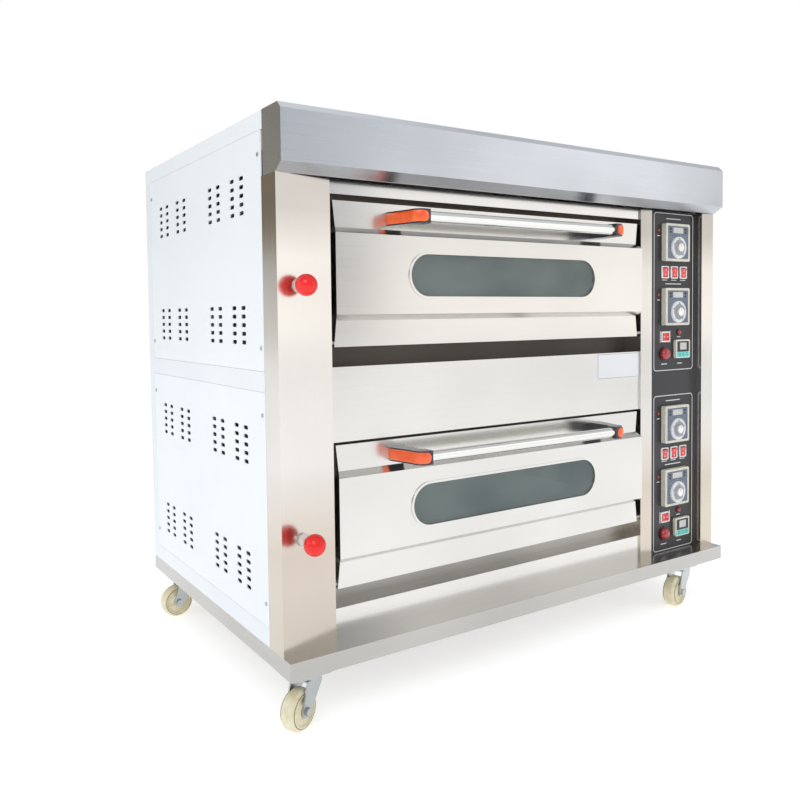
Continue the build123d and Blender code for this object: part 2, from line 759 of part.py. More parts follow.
with BuildPart() as hearth_plates:
    for sill in SILLS.values():
        low = sill + CHAMBER_RISE + HEARTH_RISE
        box_between(
            (CHAMBER_LEFT + CHAMBER_WALL + HEARTH_GAP, MOUTH_Y + SHEET, low),
            (
                CHAMBER_RIGHT - CHAMBER_WALL - HEARTH_GAP,
                CHAMBER_BACK - CHAMBER_WALL - HEARTH_GAP,
                low + HEARTH_THICKNESS,
            ),
        )
finish(hearth_plates, "hearth_plates")

with BuildPart() as heating_elements:
    for sill in SILLS.values():
        for level in ELEMENT_LEVELS:
            for y in element_ys:
                rod_along_x(
                    CHAMBER_LEFT - TERMINAL_LENGTH,
                    CHAMBER_RIGHT + TERMINAL_LENGTH,
                    y,
                    sill + CHAMBER_RISE + level,
                    ELEMENT_R,
                )
finish(heating_elements, "heating_elements")

with BuildPart() as oven_lamps:
    for sill in SILLS.values():
        z = sill + LAMP_RISE
        lamp_front = CHAMBER_RIGHT - CHAMBER_WALL - LAMP_PROUD
        rod_along_x(lamp_front, CHAMBER_RIGHT + INSULATION, LAMP_Y, z, LAMP_R)
finish(oven_lamps, "oven_lamps")

# ---------------------------------------------------------------- doors
def door_block(sill, inset):
    """A door's raised block, with every face but its back moved in by inset."""
    half = DOOR_WIDTH / 2 - inset
    notch = half - DOOR_FLARE
    tip = half - DOOR_TIP_FLARE
    low = inset
    high = DOOR_HEIGHT - inset
    low_strip = DOOR_STRIP + inset / 2
    low_field = low_strip + DOOR_BEVEL
    high_strip = DOOR_HEIGHT - low_strip
    high_field = high_strip - DOOR_BEVEL
    strip_y = DOOR_Y + inset
    field_y = FIELD_Y + inset
    back = DOOR_Y + DOOR_DEPTH
    with BuildPart() as block:
        with BuildSketch(facing_right(OPENING_CENTRE - half, 0, sill)):
            with BuildLine():
                Polyline(
                    (back, low),
                    (strip_y, low),
                    (strip_y, low_strip),
                    (field_y, low_field),
                    (field_y, high_field),
                    (strip_y, high_strip),
                    (strip_y, high),
                    (back, high),
                    close=True,
                )
            make_face()
        extrude(amount=2 * half)
        with BuildSketch(facing_front(back, OPENING_CENTRE, sill)):
            with BuildLine():
                right_edge = [
                    (tip, low),
                    (notch, low_strip),
                    (half, low_field),
                    (half, high_field),
                    (notch, high_strip),
                    (tip, high),
                ]
                left_edge = [(-x, z) for x, z in reversed(right_edge)]
                Polyline(*right_edge, *left_edge, close=True)
            make_face()
        extrude(amount=DOOR_DEPTH + DOOR_FIELD_PROUD, mode=Mode.INTERSECT)
    return block


def door_shell(sill):
    """The outer skin of a door: a raised field between two strips, folded back at its edges."""
    window_z = sill + DOOR_HEIGHT / 2
    outside = door_block(sill, 0).part
    inside = door_block(sill, SHEET).part
    with BuildPart() as shell:
        add(outside)
        add(inside, mode=Mode.SUBTRACT)
        with BuildSketch(facing_front(FIELD_Y, OPENING_CENTRE, window_z)):
            SlotOverall(WINDOW_LENGTH + 2 * WINDOW_RIM, WINDOW_HEIGHT + 2 * WINDOW_RIM)
        extrude(amount=RIM_PROUD)
        with BuildSketch(facing_front(FIELD_Y, OPENING_CENTRE, window_z)):
            SlotOverall(WINDOW_LENGTH, WINDOW_HEIGHT)
        extrude(amount=DOOR_DEPTH / 2, both=True, mode=Mode.SUBTRACT)
        rod_along_x(
            OPENING_LEFT,
            OPENING_RIGHT,
            HINGE_Y,
            sill + HINGE_RISE,
            HINGE_PIN_R + SWING_GAP,
            mode=Mode.SUBTRACT,
        )
    return shell


def door_liner(sill):
    """The inner pan of a door, with a hinge block in each lower corner."""
    half = DOOR_WIDTH / 2 - DOOR_FLARE - SHEET - SWING_GAP
    front = DOOR_Y + DOOR_DEPTH - LINER_LAP
    back = DOOR_Y + DOOR_DEPTH + LINER_DEPTH
    low = sill + SHEET
    high = sill + DOOR_HEIGHT - SHEET
    hinge_z = sill + HINGE_RISE
    with BuildPart() as liner:
        box_between((OPENING_CENTRE - half, front, low), (OPENING_CENTRE + half, back, high))
        open_front = liner.faces().filter_by(Axis.Y).sort_by(Axis.Y)[0]
        offset(amount=-SHEET, openings=open_front, kind=Kind.INTERSECTION)
        with BuildSketch(facing_front(back, OPENING_CENTRE, sill + DOOR_HEIGHT / 2)):
            SlotOverall(WINDOW_LENGTH, WINDOW_HEIGHT)
        extrude(amount=SHEET, mode=Mode.SUBTRACT)
        for side in (-1, 1):
            outer = OPENING_CENTRE + side * half
            inner = outer - side * HINGE_BLOCK
            box_between(
                (min(outer, inner), HINGE_Y - HINGE_PIN_R - SHEET / 2, low),
                (max(outer, inner), back, hinge_z + HINGE_BLOCK / 2),
            )
        rod_along_x(
            OPENING_LEFT,
            OPENING_CENTRE - half + HINGE_BLOCK + BLIND,
            HINGE_Y,
            hinge_z,
            HINGE_PIN_R + RUNNING_FIT,
            mode=Mode.SUBTRACT,
        )
        rod_along_x(
            OPENING_CENTRE + half - HINGE_BLOCK - BLIND,
            OPENING_RIGHT,
            HINGE_Y,
            hinge_z,
            HINGE_PIN_R + RUNNING_FIT,
            mode=Mode.SUBTRACT,
        )
    return liner


def door_glass(sill):
    """The outer pane behind the skin and the inner pane in the liner."""
    with BuildPart() as glass:
        outer_y = FIELD_Y + SHEET + GLASS_THICKNESS
        inner_y = DOOR_Y + DOOR_DEPTH + LINER_DEPTH - SHEET
        for y in (outer_y, inner_y):
            with BuildSketch(facing_front(y, OPENING_CENTRE, sill + DOOR_HEIGHT / 2)):
                SlotOverall(WINDOW_LENGTH + 2 * GLASS_LAP, WINDOW_HEIGHT + 2 * GLASS_LAP)
            extrude(amount=GLASS_THICKNESS)
    return glass


def handle_tube(sill):
    """The steel tube of a handle, held in the two brackets."""
    z = sill + DOOR_HEIGHT - HANDLE_DROP
    half = HANDLE_SPAN / 2 + SOCKET_DEPTH
    with BuildPart() as tube:
        rod_along_x(OPENING_CENTRE - half, OPENING_CENTRE + half, HANDLE_Y, z, HANDLE_TUBE_R)
        rod_along_x(
            OPENING_CENTRE - half,
            OPENING_CENTRE + half,
            HANDLE_Y,
            z,
            HANDLE_TUBE_R - HANDLE_TUBE_WALL,
            mode=Mode.SUBTRACT,
        )
    return tube


def elbow_plan(side, z, grow=0.0):
    """One bracket's plan: out from the door, round the corner and in to the tube."""
    socket = HANDLE_SPAN / 2
    foot_in = socket + BRACKET_FOOT_IN
    foot_out = foot_in + BRACKET_FOOT + grow
    nose = foot_out - BRACKET_NOSE_IN
    front = HANDLE_Y - BRACKET_HALF_HEIGHT - grow
    heel = HANDLE_Y + BRACKET_HALF_HEIGHT
    with BuildSketch(Plane.XY.offset(z)) as plan:
        with BuildLine():
            Polyline(
                (OPENING_CENTRE + side * foot_out, DOOR_Y),
                (OPENING_CENTRE + side * nose, heel),
                (OPENING_CENTRE + side * nose, front),
                (OPENING_CENTRE + side * socket, front),
                (OPENING_CENTRE + side * socket, heel),
                (OPENING_CENTRE + side * foot_in, heel + BRACKET_HEEL),
                (OPENING_CENTRE + side * foot_in, DOOR_Y),
                close=True,
            )
        make_face()
        nose_corner = (OPENING_CENTRE + side * nose, front, 0)
        fillet(plan.vertices().sort_by_distance(nose_corner)[0], BRACKET_CORNER_R + grow)
    return plan.sketch.face()


def handle_brackets(sill):
    """The two black brackets of a handle, each with a socket for the tube."""
    z = sill + DOOR_HEIGHT - HANDLE_DROP
    half = HANDLE_SPAN / 2 + SOCKET_DEPTH
    plans = [elbow_plan(side, z - BRACKET_HALF_HEIGHT) for side in (-1, 1)]
    with BuildPart() as brackets:
        extrude(plans, amount=2 * BRACKET_HALF_HEIGHT)
        rod_along_x(
            OPENING_CENTRE - half,
            OPENING_CENTRE + half,
            HANDLE_Y,
            z,
            HANDLE_TUBE_R,
            mode=Mode.SUBTRACT,
        )
    return brackets


def handle_caps(sill):
    """The two bright covers that wrap the outside of the brackets."""
    low = sill + DOOR_HEIGHT - HANDLE_DROP - CAP_HALF_HEIGHT
    cap_start = HANDLE_SPAN / 2 + SOCKET_DEPTH
    outer_plans = [elbow_plan(side, low, grow=CAP_THICKNESS) for side in (-1, 1)]
    inner_plans = [elbow_plan(side, low) for side in (-1, 1)]
    with BuildPart() as caps:
        extrude(outer_plans, amount=2 * CAP_HALF_HEIGHT)
        extrude(inner_plans, amount=2 * CAP_HALF_HEIGHT, mode=Mode.SUBTRACT)
        box_between(
            (OPENING_CENTRE - cap_start, HANDLE_Y - HANDLE_REACH, low),
            (OPENING_CENTRE + cap_start, DOOR_Y, low + 2 * CAP_HALF_HEIGHT),
            mode=Mode.SUBTRACT,
        )
    return caps


for deck, sill in SILLS.items():
    finish(door_shell(sill), f"{deck}_door_shell")
    finish(door_liner(sill), f"{deck}_door_liner")
    finish(door_glass(sill), f"{deck}_door_glass")
    finish(handle_tube(sill), f"{deck}_handle_tube")
    finish(handle_brackets(sill), f"{deck}_handle_brackets")
    finish(handle_caps(sill), f"{deck}_handle_caps")

with BuildPart() as hinge_pins:
    for sill in SILLS.values():
        z = sill + HINGE_RISE
        left_end = OPENING_LEFT - HINGE_PIN_IN_JAMB
        right_end = OPENING_RIGHT + HINGE_PIN_IN_JAMB
        rod_along_x(left_end, left_end + HINGE_PIN_LENGTH, HINGE_Y, z, HINGE_PIN_R)
        rod_along_x(right_end - HINGE_PIN_LENGTH, right_end, HINGE_Y, z, HINGE_PIN_R)
finish(hinge_pins, "hinge_pins")

# ---------------------------------------------------------------- damper pull rods
rod_pulls = {"lower": LOWER_ROD_PULLED, "upper": 0.0}


def ball_y(deck):
    """The middle of a rod's ball, in front of the column's face."""
    return ROD_FACE_Y - BALL_STANDOFF - rod_pulls[deck]


def damper_rod(deck):
    """A pull rod with the damper blade on its inner end, beside the chamber's vent."""
    z = SILLS[deck] + ROD_RISE
    front = ball_y(deck)
    back = front + ROD_LENGTH
    blade_x = CHAMBER_LEFT - INSULATION - SEAM - BLADE_THICKNESS
    with BuildPart() as rod:
        rod_along_y(front, back, ROD_X, z, ROD_R)
        box_between(
            (ROD_X - ROD_R, back, z - BLADE_HEIGHT / 2),
            (blade_x + BLADE_THICKNESS, back + BLADE_THICKNESS, z + BLADE_HEIGHT / 2),
        )
        box_between(
            (blade_x, back - BLADE_LENGTH, z - BLADE_HEIGHT / 2),
            (blade_x + BLADE_THICKNESS, back + BLADE_THICKNESS, z + BLADE_HEIGHT / 2),
        )
    return rod


def damper_ball(deck):
    """The round knob on the end of a pull rod."""
    z = SILLS[deck] + ROD_RISE
    with BuildPart() as ball:
        with Locations((ROD_X, ball_y(deck), z)):
            Sphere(BALL_R)
        rod_along_y(ball_y(deck), ball_y(deck) + 2 * BALL_R, ROD_X, z, ROD_R, mode=Mode.SUBTRACT)
    return ball


for deck in DECKS:
    finish(damper_rod(deck), f"{deck}_damper_rod")
    finish(damper_ball(deck), f"{deck}_damper_ball")

with BuildPart() as damper_bushes:
    for sill in SILLS.values():
        z = sill + ROD_RISE
        rod_along_y(ROD_FACE_Y - BUSH_LENGTH / 2, ROD_FACE_Y + BUSH_LENGTH, ROD_X, z, BUSH_R)
        rod_along_y(
            ROD_FACE_Y - BUSH_LENGTH,
            ROD_FACE_Y + 2 * BUSH_LENGTH,
            ROD_X,
            z,
            ROD_R + RUNNING_FIT,
            mode=Mode.SUBTRACT,
        )
finish(damper_bushes, "damper_bushes")

# ---------------------------------------------------------------- instruments
def instrument(x, z, y=PANEL_Y):
    """A plane on the instrument panel, facing the front."""
    return facing_front(y, PANEL_CENTRE + x, z)


with BuildPart() as instrument_housings:
    for x, z in controller_spots:
        with BuildSketch(instrument(x, z)):
            RectangleRounded(CONTROLLER_SIZE, CONTROLLER_SIZE, HOUSING_CORNER_R)
        extrude(amount=CONTROLLER_PROUD)
        with BuildSketch(instrument(x, z)):
            Rectangle(CONTROLLER_BODY, CONTROLLER_BODY)
        extrude(amount=-CONTROLLER_BODY_DEPTH)
        with BuildSketch(instrument(x, z - DIAL_DROP, PANEL_Y - CONTROLLER_PROUD)):
            Circle(DIAL_SHAFT_R + RUNNING_FIT)
        extrude(amount=-DIAL_SHAFT_LENGTH - BLIND, mode=Mode.SUBTRACT)
    for x, z in timer_spots:
        with BuildSketch(instrument(x, z)):
            RectangleRounded(*TIMER_SIZE, HOUSING_CORNER_R)
        extrude(amount=TIMER_PROUD)
        with BuildSketch(instrument(x, z)):
            Rectangle(*TIMER_BODY)
        extrude(amount=-TIMER_BODY_DEPTH)
finish(instrument_housings, "instrument_housings")

for (x, z), name in zip(
    controller_spots,
    ("lower_bottom_dial", "lower_top_dial", "upper_bottom_dial", "upper_top_dial"),
):
    with BuildPart() as dial:
        face_y = PANEL_Y - CONTROLLER_PROUD
        with BuildSketch(instrument(x, z - DIAL_DROP, face_y - DIAL_GAP)):
            Circle(DIAL_R)
        extrude(amount=DIAL_THICKNESS, taper=DIAL_TAPER)
        with BuildSketch(instrument(x, z - DIAL_DROP, face_y - DIAL_GAP - DIAL_THICKNESS)):
            Circle(DIAL_KNOB_R)
        extrude(amount=DIAL_KNOB_HEIGHT, taper=DIAL_KNOB_TAPER)
        with BuildSketch(instrument(x, z - DIAL_DROP, face_y - DIAL_GAP)):
            Circle(DIAL_SHAFT_R)
        extrude(amount=-DIAL_SHAFT_LENGTH)
    finish(dial, name)


def switch_plane(x, z, sideways):
    """A switch's own plane: its long way is y, or is laid along X when it is mounted sideways."""
    long_way = (1, 0, 0) if sideways else (0, 0, 1)
    short_way = Vector(*long_way).cross(Vector(0, -1, 0))
    return Plane(origin=(PANEL_CENTRE + x, PANEL_Y, z), x_dir=short_way, z_dir=(0, -1, 0))


def switch_bezel(plane):
    """A switch's surround, with a pocket for its key and bores for the key's pivot."""
    pivot_plane = Plane(origin=plane.origin, x_dir=plane.z_dir, z_dir=plane.x_dir)
    with BuildPart() as bezel:
        with BuildSketch(plane):
            RectangleRounded(*ROCKER_BEZEL, BEZEL_CORNER_R)
        extrude(amount=ROCKER_PROUD)
        with BuildSketch(plane):
            Rectangle(*ROCKER_BODY)
        extrude(amount=-ROCKER_BODY_DEPTH)
        with BuildSketch(plane.offset(ROCKER_PROUD)):
            Rectangle(*ROCKER_OPENING)
        extrude(amount=-ROCKER_POCKET, mode=Mode.SUBTRACT)
        with BuildSketch(pivot_plane.offset(-ROCKER_BODY[0] / 2)):
            Circle(ROCKER_PIVOT_R + RUNNING_FIT)
        extrude(amount=ROCKER_BODY[0], mode=Mode.SUBTRACT)
    return bezel


def rocker_key(plane):
    """A rocker key, tilted to its off position, with its two pivot stubs."""
    half_width = ROCKER_KEY[0] / 2
    half_height = ROCKER_KEY[1] / 2
    stub_half = ROCKER_BODY[0] / 2 - BLIND / 2
    pivot_plane = Plane(origin=plane.origin, x_dir=plane.z_dir, z_dir=plane.x_dir)
    key_plane = Plane(pivot_plane.location * Rotation(0, 0, ROCKER_TILT))
    with BuildPart() as key:
        with BuildSketch(key_plane.offset(-half_width)):
            with BuildLine():
                Polyline(
                    (ROCKER_KEY_PROUD, half_height),
                    (ROCKER_KEY_PROUD - ROCKER_KEY_DISH, 0),
                    (ROCKER_KEY_PROUD, -half_height),
                    (-ROCKER_KEY_SHOULDER, -half_height),
                    (-ROCKER_KEY_DEPTH, 0),
                    (-ROCKER_KEY_SHOULDER, half_height),
                    close=True,
                )
            make_face()
        extrude(amount=2 * half_width)
        with BuildSketch(pivot_plane.offset(-stub_half)):
            Circle(ROCKER_PIVOT_R)
        extrude(amount=2 * stub_half)
    return key


switches = {name: switch_plane(x, z, False) for name, (x, z) in heat_rocker_spots.items()}
switches |= {name: switch_plane(x, z, True) for name, (x, z) in light_switch_spots.items()}

bezels = [switch_bezel(plane).part for plane in switches.values()]
with BuildPart() as switch_bezels:
    add(bezels)
finish(switch_bezels, "switch_bezels")

for name, plane in switches.items():
    finish(rocker_key(plane), name)

with BuildPart() as signal_lamps:
    for x, z, radius, proud in lamp_spots:
        with BuildSketch(instrument(x, z)):
            Circle(radius)
        extrude(amount=proud)
        lens_middle = Vector(PANEL_CENTRE + x, PANEL_Y - proud, z)
        rings = signal_lamps.edges().filter_by(GeomType.CIRCLE)
        front_ring = min(rings, key=lambda ring: (ring.arc_center - lens_middle).length)
        fillet(front_ring, LENS_ROUNDING * proud)
        with BuildSketch(instrument(x, z)):
            Circle(radius * LAMP_SHANK)
        extrude(amount=-LAMP_BODY_DEPTH)
finish(signal_lamps, "signal_lamps")

# ---------------------------------------------------------------- casters
caster_spots = {
    name: (side * (RIGHT - inset), end * (BACK - setback), heading)
    for name, (side, inset, end, setback, heading) in CASTERS.items()
}

with BuildPart() as caster_plates:
    for x, y, _ in caster_spots.values():
        with BuildSketch(Plane.XY.offset(PLATE_LOW)):
            with Locations((x, y)):
                RectangleRounded(*CASTER_PLATE, PLATE_CORNER_R)
        extrude(amount=CASTER_PLATE_THICKNESS)
        with BuildSketch(Plane.XY.offset(FORK_HIGH + SWING_GAP)):
            with Locations((x, y)):
                Circle(CASTER_RACE_R)
        extrude(amount=CASTER_RACE_HEIGHT - SWING_GAP)
        with BuildSketch(Plane.XY.offset(FORK_HIGH - FORK_SHEET - KING_PIN_TAIL)):
            with Locations((x, y)):
                Circle(KING_PIN_R)
        extrude(amount=CASTER_RACE_HEIGHT + FORK_SHEET + KING_PIN_TAIL)
finish(caster_plates, "caster_plates")


def caster_axes(heading):
    """The way a caster trails and the way its axle points, from its heading in degrees."""
    turn = math.radians(heading)
    trail = Vector(math.cos(turn), math.sin(turn), 0)
    axle = Vector(math.sin(turn), -math.cos(turn), 0)
    return trail, axle


def caster_fork(x, y, heading):
    """A swivel fork with the wheel's axle bolt through it."""
    trail, axle = caster_axes(heading)
    pivot = Vector(x, y, 0)
    inside = WHEEL_WIDTH / 2 + FORK_GAP
    crown = Plane(origin=pivot + Vector(0, 0, FORK_HIGH), x_dir=trail, z_dir=(0, 0, 1))
    hub = pivot + trail * CASTER_TRAIL + Vector(0, 0, WHEEL_R)
    axle_plane = Plane(origin=hub, x_dir=trail, z_dir=axle)
    leg_top = FORK_HIGH - WHEEL_R - LEG_TOP_HEIGHT / 2
    with BuildPart() as fork:
        with BuildSketch(crown):
            Circle(FORK_TOP_R)
            Rectangle(LEG_TOP_WIDTH, 2 * inside + 2 * FORK_SHEET)
        extrude(amount=-FORK_SHEET)
        with BuildSketch(crown):
            Circle(KING_PIN_R + RUNNING_FIT)
        extrude(amount=-FORK_SHEET, mode=Mode.SUBTRACT)
        for side in (-1, 1):
            with BuildSketch(axle_plane.offset(side * inside)):
                Circle(AXLE_BOSS_R)
                with Locations((-CASTER_TRAIL, leg_top)):
                    Rectangle(LEG_TOP_WIDTH, LEG_TOP_HEIGHT)
                make_hull()
            extrude(amount=side * FORK_SHEET)
            with BuildSketch(axle_plane.offset(side * inside)):
                Circle(AXLE_R + BOLT_GAP)
            extrude(amount=side * FORK_SHEET, mode=Mode.SUBTRACT)
        half = inside + FORK_SHEET + BOLT_GAP
        with BuildSketch(axle_plane.offset(-half - BOLT_HEAD_HEIGHT)):
            Circle(AXLE_R)
        extrude(amount=2 * half + 2 * BOLT_HEAD_HEIGHT)
        for side in (-1, 1):
            with BuildSketch(axle_plane.offset(side * half)):
                RegularPolygon(BOLT_HEAD_R, 6)
            extrude(amount=side * BOLT_HEAD_HEIGHT)
    return fork


def caster_wheel(x, y, heading):
    """A solid wheel with sloped shoulders and a dished face on each side."""
    trail, axle = caster_axes(heading)
    centre = Vector(x, y, WHEEL_R) + trail * CASTER_TRAIL
    section = Plane(origin=centre, x_dir=axle, z_dir=trail)
    half = WHEEL_WIDTH / 2
    dish = WHEEL_DISH
    bore = AXLE_R + RUNNING_FIT
    with BuildPart() as wheel:
        with BuildSketch(section):
            with BuildLine():
                Polyline(
                    (-half, bore),
                    (-half, HUB_R),
                    (dish - half, HUB_R + dish),
                    (dish - half, RIM_R - dish),
                    (-half, RIM_R),
                    (-half, WHEEL_R - WHEEL_CHAMFER),
                    (-half + WHEEL_CHAMFER, WHEEL_R),
                    (half - WHEEL_CHAMFER, WHEEL_R),
                    (half, WHEEL_R - WHEEL_CHAMFER),
                    (half, RIM_R),
                    (half - dish, RIM_R - dish),
                    (half - dish, HUB_R + dish),
                    (half, HUB_R),
                    (half, bore),
                    close=True,
                )
            make_face()
        revolve(axis=Axis(centre, axle))
    return wheel


for name, (x, y, heading) in caster_spots.items():
    finish(caster_fork(x, y, heading), f"{name}_fork")
    finish(caster_wheel(x, y, heading), f"{name}_wheel")
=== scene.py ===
import json
import math

import bmesh
import bpy
from mathutils import Matrix, Vector


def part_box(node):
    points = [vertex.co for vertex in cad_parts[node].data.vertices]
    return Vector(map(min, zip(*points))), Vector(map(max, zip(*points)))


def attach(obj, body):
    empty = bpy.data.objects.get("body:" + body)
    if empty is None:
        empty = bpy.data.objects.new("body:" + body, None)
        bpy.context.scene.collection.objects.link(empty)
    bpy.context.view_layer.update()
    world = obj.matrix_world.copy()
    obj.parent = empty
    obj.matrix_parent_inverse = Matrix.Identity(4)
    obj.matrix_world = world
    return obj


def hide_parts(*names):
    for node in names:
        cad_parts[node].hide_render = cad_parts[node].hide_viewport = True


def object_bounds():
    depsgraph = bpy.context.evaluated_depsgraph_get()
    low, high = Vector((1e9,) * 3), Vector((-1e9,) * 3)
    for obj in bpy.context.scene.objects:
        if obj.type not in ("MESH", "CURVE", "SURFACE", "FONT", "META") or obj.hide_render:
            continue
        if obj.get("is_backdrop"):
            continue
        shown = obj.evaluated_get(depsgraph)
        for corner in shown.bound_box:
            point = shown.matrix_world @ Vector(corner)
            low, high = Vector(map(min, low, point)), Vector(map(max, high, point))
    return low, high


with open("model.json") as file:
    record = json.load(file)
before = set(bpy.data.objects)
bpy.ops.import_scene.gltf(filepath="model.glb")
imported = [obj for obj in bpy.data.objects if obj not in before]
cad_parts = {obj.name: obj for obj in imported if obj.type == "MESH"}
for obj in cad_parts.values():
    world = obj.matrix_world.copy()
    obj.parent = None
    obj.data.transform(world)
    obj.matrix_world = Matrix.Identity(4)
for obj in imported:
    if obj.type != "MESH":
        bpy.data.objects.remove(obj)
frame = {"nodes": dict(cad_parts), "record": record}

cad_low, cad_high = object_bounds()
nodes = frame["nodes"]
joints = {joint["name"]: joint for joint in frame["record"]["behaviour"]["joints"]}
MM = 0.001
DECKS = ("upper", "lower")
CORNERS = ("front_left", "front_right", "rear_left", "rear_right")
ROCKER_KEYS = ("top_heat_rocker", "power_rocker", "bottom_heat_rocker", "light_switch")

# ---------------------------------------------------------------- node materials


def principled(material):
    """A material's own shader node."""
    return material.node_tree.nodes["Principled BSDF"]


def new_material(name, color, roughness, metallic=0.0):
    """A material with its plain values on the shader's own sockets."""
    material = bpy.data.materials.new(name)
    material.use_nodes = True
    shader = principled(material)
    shader.inputs["Base Color"].default_value = (*color, 1.0)
    shader.inputs["Roughness"].default_value = roughness
    shader.inputs["Metallic"].default_value = metallic
    return material


def add_node(owner, kind, inputs=None, **settings):
    """Add a node to a material or a world, with the given input values and settings."""
    node = owner.node_tree.nodes.new(kind)
    for key, value in settings.items():
        setattr(node, key, value)
    for key, value in (inputs or {}).items():
        node.inputs[key].default_value = value
    return node


def link(owner, start, end):
    """Join an output socket to an input socket."""
    owner.node_tree.links.new(start, end)


def stretched_noise(material, stretch, scale=1.0, detail=4.0, roughness=0.6):
    """Noise in the object's own coordinates, stretched along the directions with small values."""
    place = add_node(material, "ShaderNodeTexCoord")
    mapping = add_node(material, "ShaderNodeMapping", {"Scale": stretch})
    noise = add_node(
        material,
        "ShaderNodeTexNoise",
        {"Scale": scale, "Detail": detail, "Roughness": roughness},
    )
    link(material, place.outputs["Object"], mapping.inputs["Vector"])
    link(material, mapping.outputs["Vector"], noise.inputs["Vector"])
    return noise.outputs["Fac"]


def color_ramp(owner, fac, stops):
    """A colour socket that follows a factor through stops of (position, colour)."""
    ramp = add_node(owner, "ShaderNodeValToRGB")
    elements = ramp.color_ramp.elements
    while len(elements) < len(stops):
        elements.new(1.0)
    for element, (position, color) in zip(elements, stops):
        element.position = position
        element.color = (*color, 1.0)
    link(owner, fac, ramp.inputs["Fac"])
    return ramp.outputs["Color"]


# The middle part of a noise, where nearly all of its values lie.
COLOR_SPAN = (0.35, 0.65)
ROUGHNESS_SPAN = {"From Min": 0.3, "From Max": 0.7}


def vary_color(material, fac, low, high):
    """Let the base colour wander between two colours."""
    color = color_ramp(material, fac, tuple(zip(COLOR_SPAN, (low, high))))
    link(material, color, principled(material).inputs["Base Color"])


def vary_roughness(material, fac, low, high):
    """Let the roughness wander between two values."""
    span = ROUGHNESS_SPAN | {"To Min": low, "To Max": high}
    spread = add_node(material, "ShaderNodeMapRange", span)
    link(material, fac, spread.inputs["Value"])
    link(material, spread.outputs["Result"], principled(material).inputs["Roughness"])


def add_bump(material, fac, strength, distance):
    """Raise the surface a little by a factor."""
    bump = add_node(material, "ShaderNodeBump", {"Strength": strength, "Distance": distance})
    link(material, fac, bump.inputs["Height"])
    link(material, bump.outputs["Normal"], principled(material).inputs["Normal"])


STREAK_FINE = 260.0
STREAK_LONG = 3.0
STREAK_DEPTH = 0.2 * MM
PATCH_SCALE = (2.2, 2.2, 3.0)
ROUGHNESS_SWING = 0.12
PAINT_DRIFT_SCALE = 1.6
PAINT_PEEL_SCALE = 900.0
PLASTIC_DRIFT_SCALE = 45.0
PLASTIC_GRAIN_SCALE = 700.0
GRAIN_DEPTH = 0.1 * MM


def brushed_steel(name, color, roughness, along, shift=0.05, brushing=0.04):
    """Brushed stainless sheet: fine streaks along one axis and broad soft patches."""
    material = new_material(name, color, roughness, metallic=1.0)
    streak_scale = [STREAK_FINE] * 3
    streak_scale["XYZ".index(along)] = STREAK_LONG
    streaks = stretched_noise(material, streak_scale, detail=3.0)
    patches = stretched_noise(material, PATCH_SCALE, detail=2.0, roughness=0.5)
    dark = [channel * (1.0 - shift) for channel in color]
    light = [min(1.0, channel * (1.0 + shift)) for channel in color]
    vary_color(material, patches, dark, light)
    low, high = roughness * (1 - ROUGHNESS_SWING), roughness * (1 + ROUGHNESS_SWING)
    vary_roughness(material, streaks, low, high)
    add_bump(material, streaks, brushing, STREAK_DEPTH)
    return material


def shade_by_height(material, stops):
    """Paint light and shade into the base colour: multiply it by a tone for each share of the whole
    object's height.
    """
    base_color = principled(material).inputs["Base Color"]
    color = base_color.links[0].from_socket
    place = add_node(material, "ShaderNodeTexCoord")
    axes = add_node(material, "ShaderNodeSeparateXYZ")
    share = add_node(material, "ShaderNodeMapRange", {"From Max": cad_high.z})
    mix = add_node(
        material,
        "ShaderNodeMix",
        {"Factor": 1.0},
        data_type="RGBA",
        blend_type="MULTIPLY",
    )
    link(material, place.outputs["Object"], axes.inputs["Vector"])
    link(material, axes.outputs["Z"], share.inputs["Value"])
    link(material, color, mix.inputs["A"])
    link(material, color_ramp(material, share.outputs["Result"], stops), mix.inputs["B"])
    link(material, mix.outputs["Result"], base_color)


def painted(name, dark, light, roughness):
    """Painted sheet metal with a faint orange peel and a slow drift of tone."""
    material = new_material(name, light, roughness)
    drift = stretched_noise(material, (PAINT_DRIFT_SCALE,) * 3, detail=3.0)
    vary_color(material, drift, dark, light)
    peel = stretched_noise(material, (PAINT_PEEL_SCALE,) * 3, detail=1.0)
    add_bump(material, peel, 0.08, GRAIN_DEPTH)
    principled(material).inputs["Coat Weight"].default_value = 0.15
    return material


def moulded(name, dark, light, roughness, coat=0.0, grain=PLASTIC_GRAIN_SCALE):
    """Moulded plastic: slight tone drift, moulding grain and an optional glossy coat."""
    material = new_material(name, light, roughness)
    drift = stretched_noise(material, (PLASTIC_DRIFT_SCALE,) * 3, detail=3.0)
    vary_color(material, drift, dark, light)
    add_bump(material, stretched_noise(material, (grain,) * 3, detail=2.0), 0.06, GRAIN_DEPTH)
    shader = principled(material)
    shader.inputs["Coat Weight"].default_value = coat
    shader.inputs["Coat Roughness"].default_value = 0.08
    return material


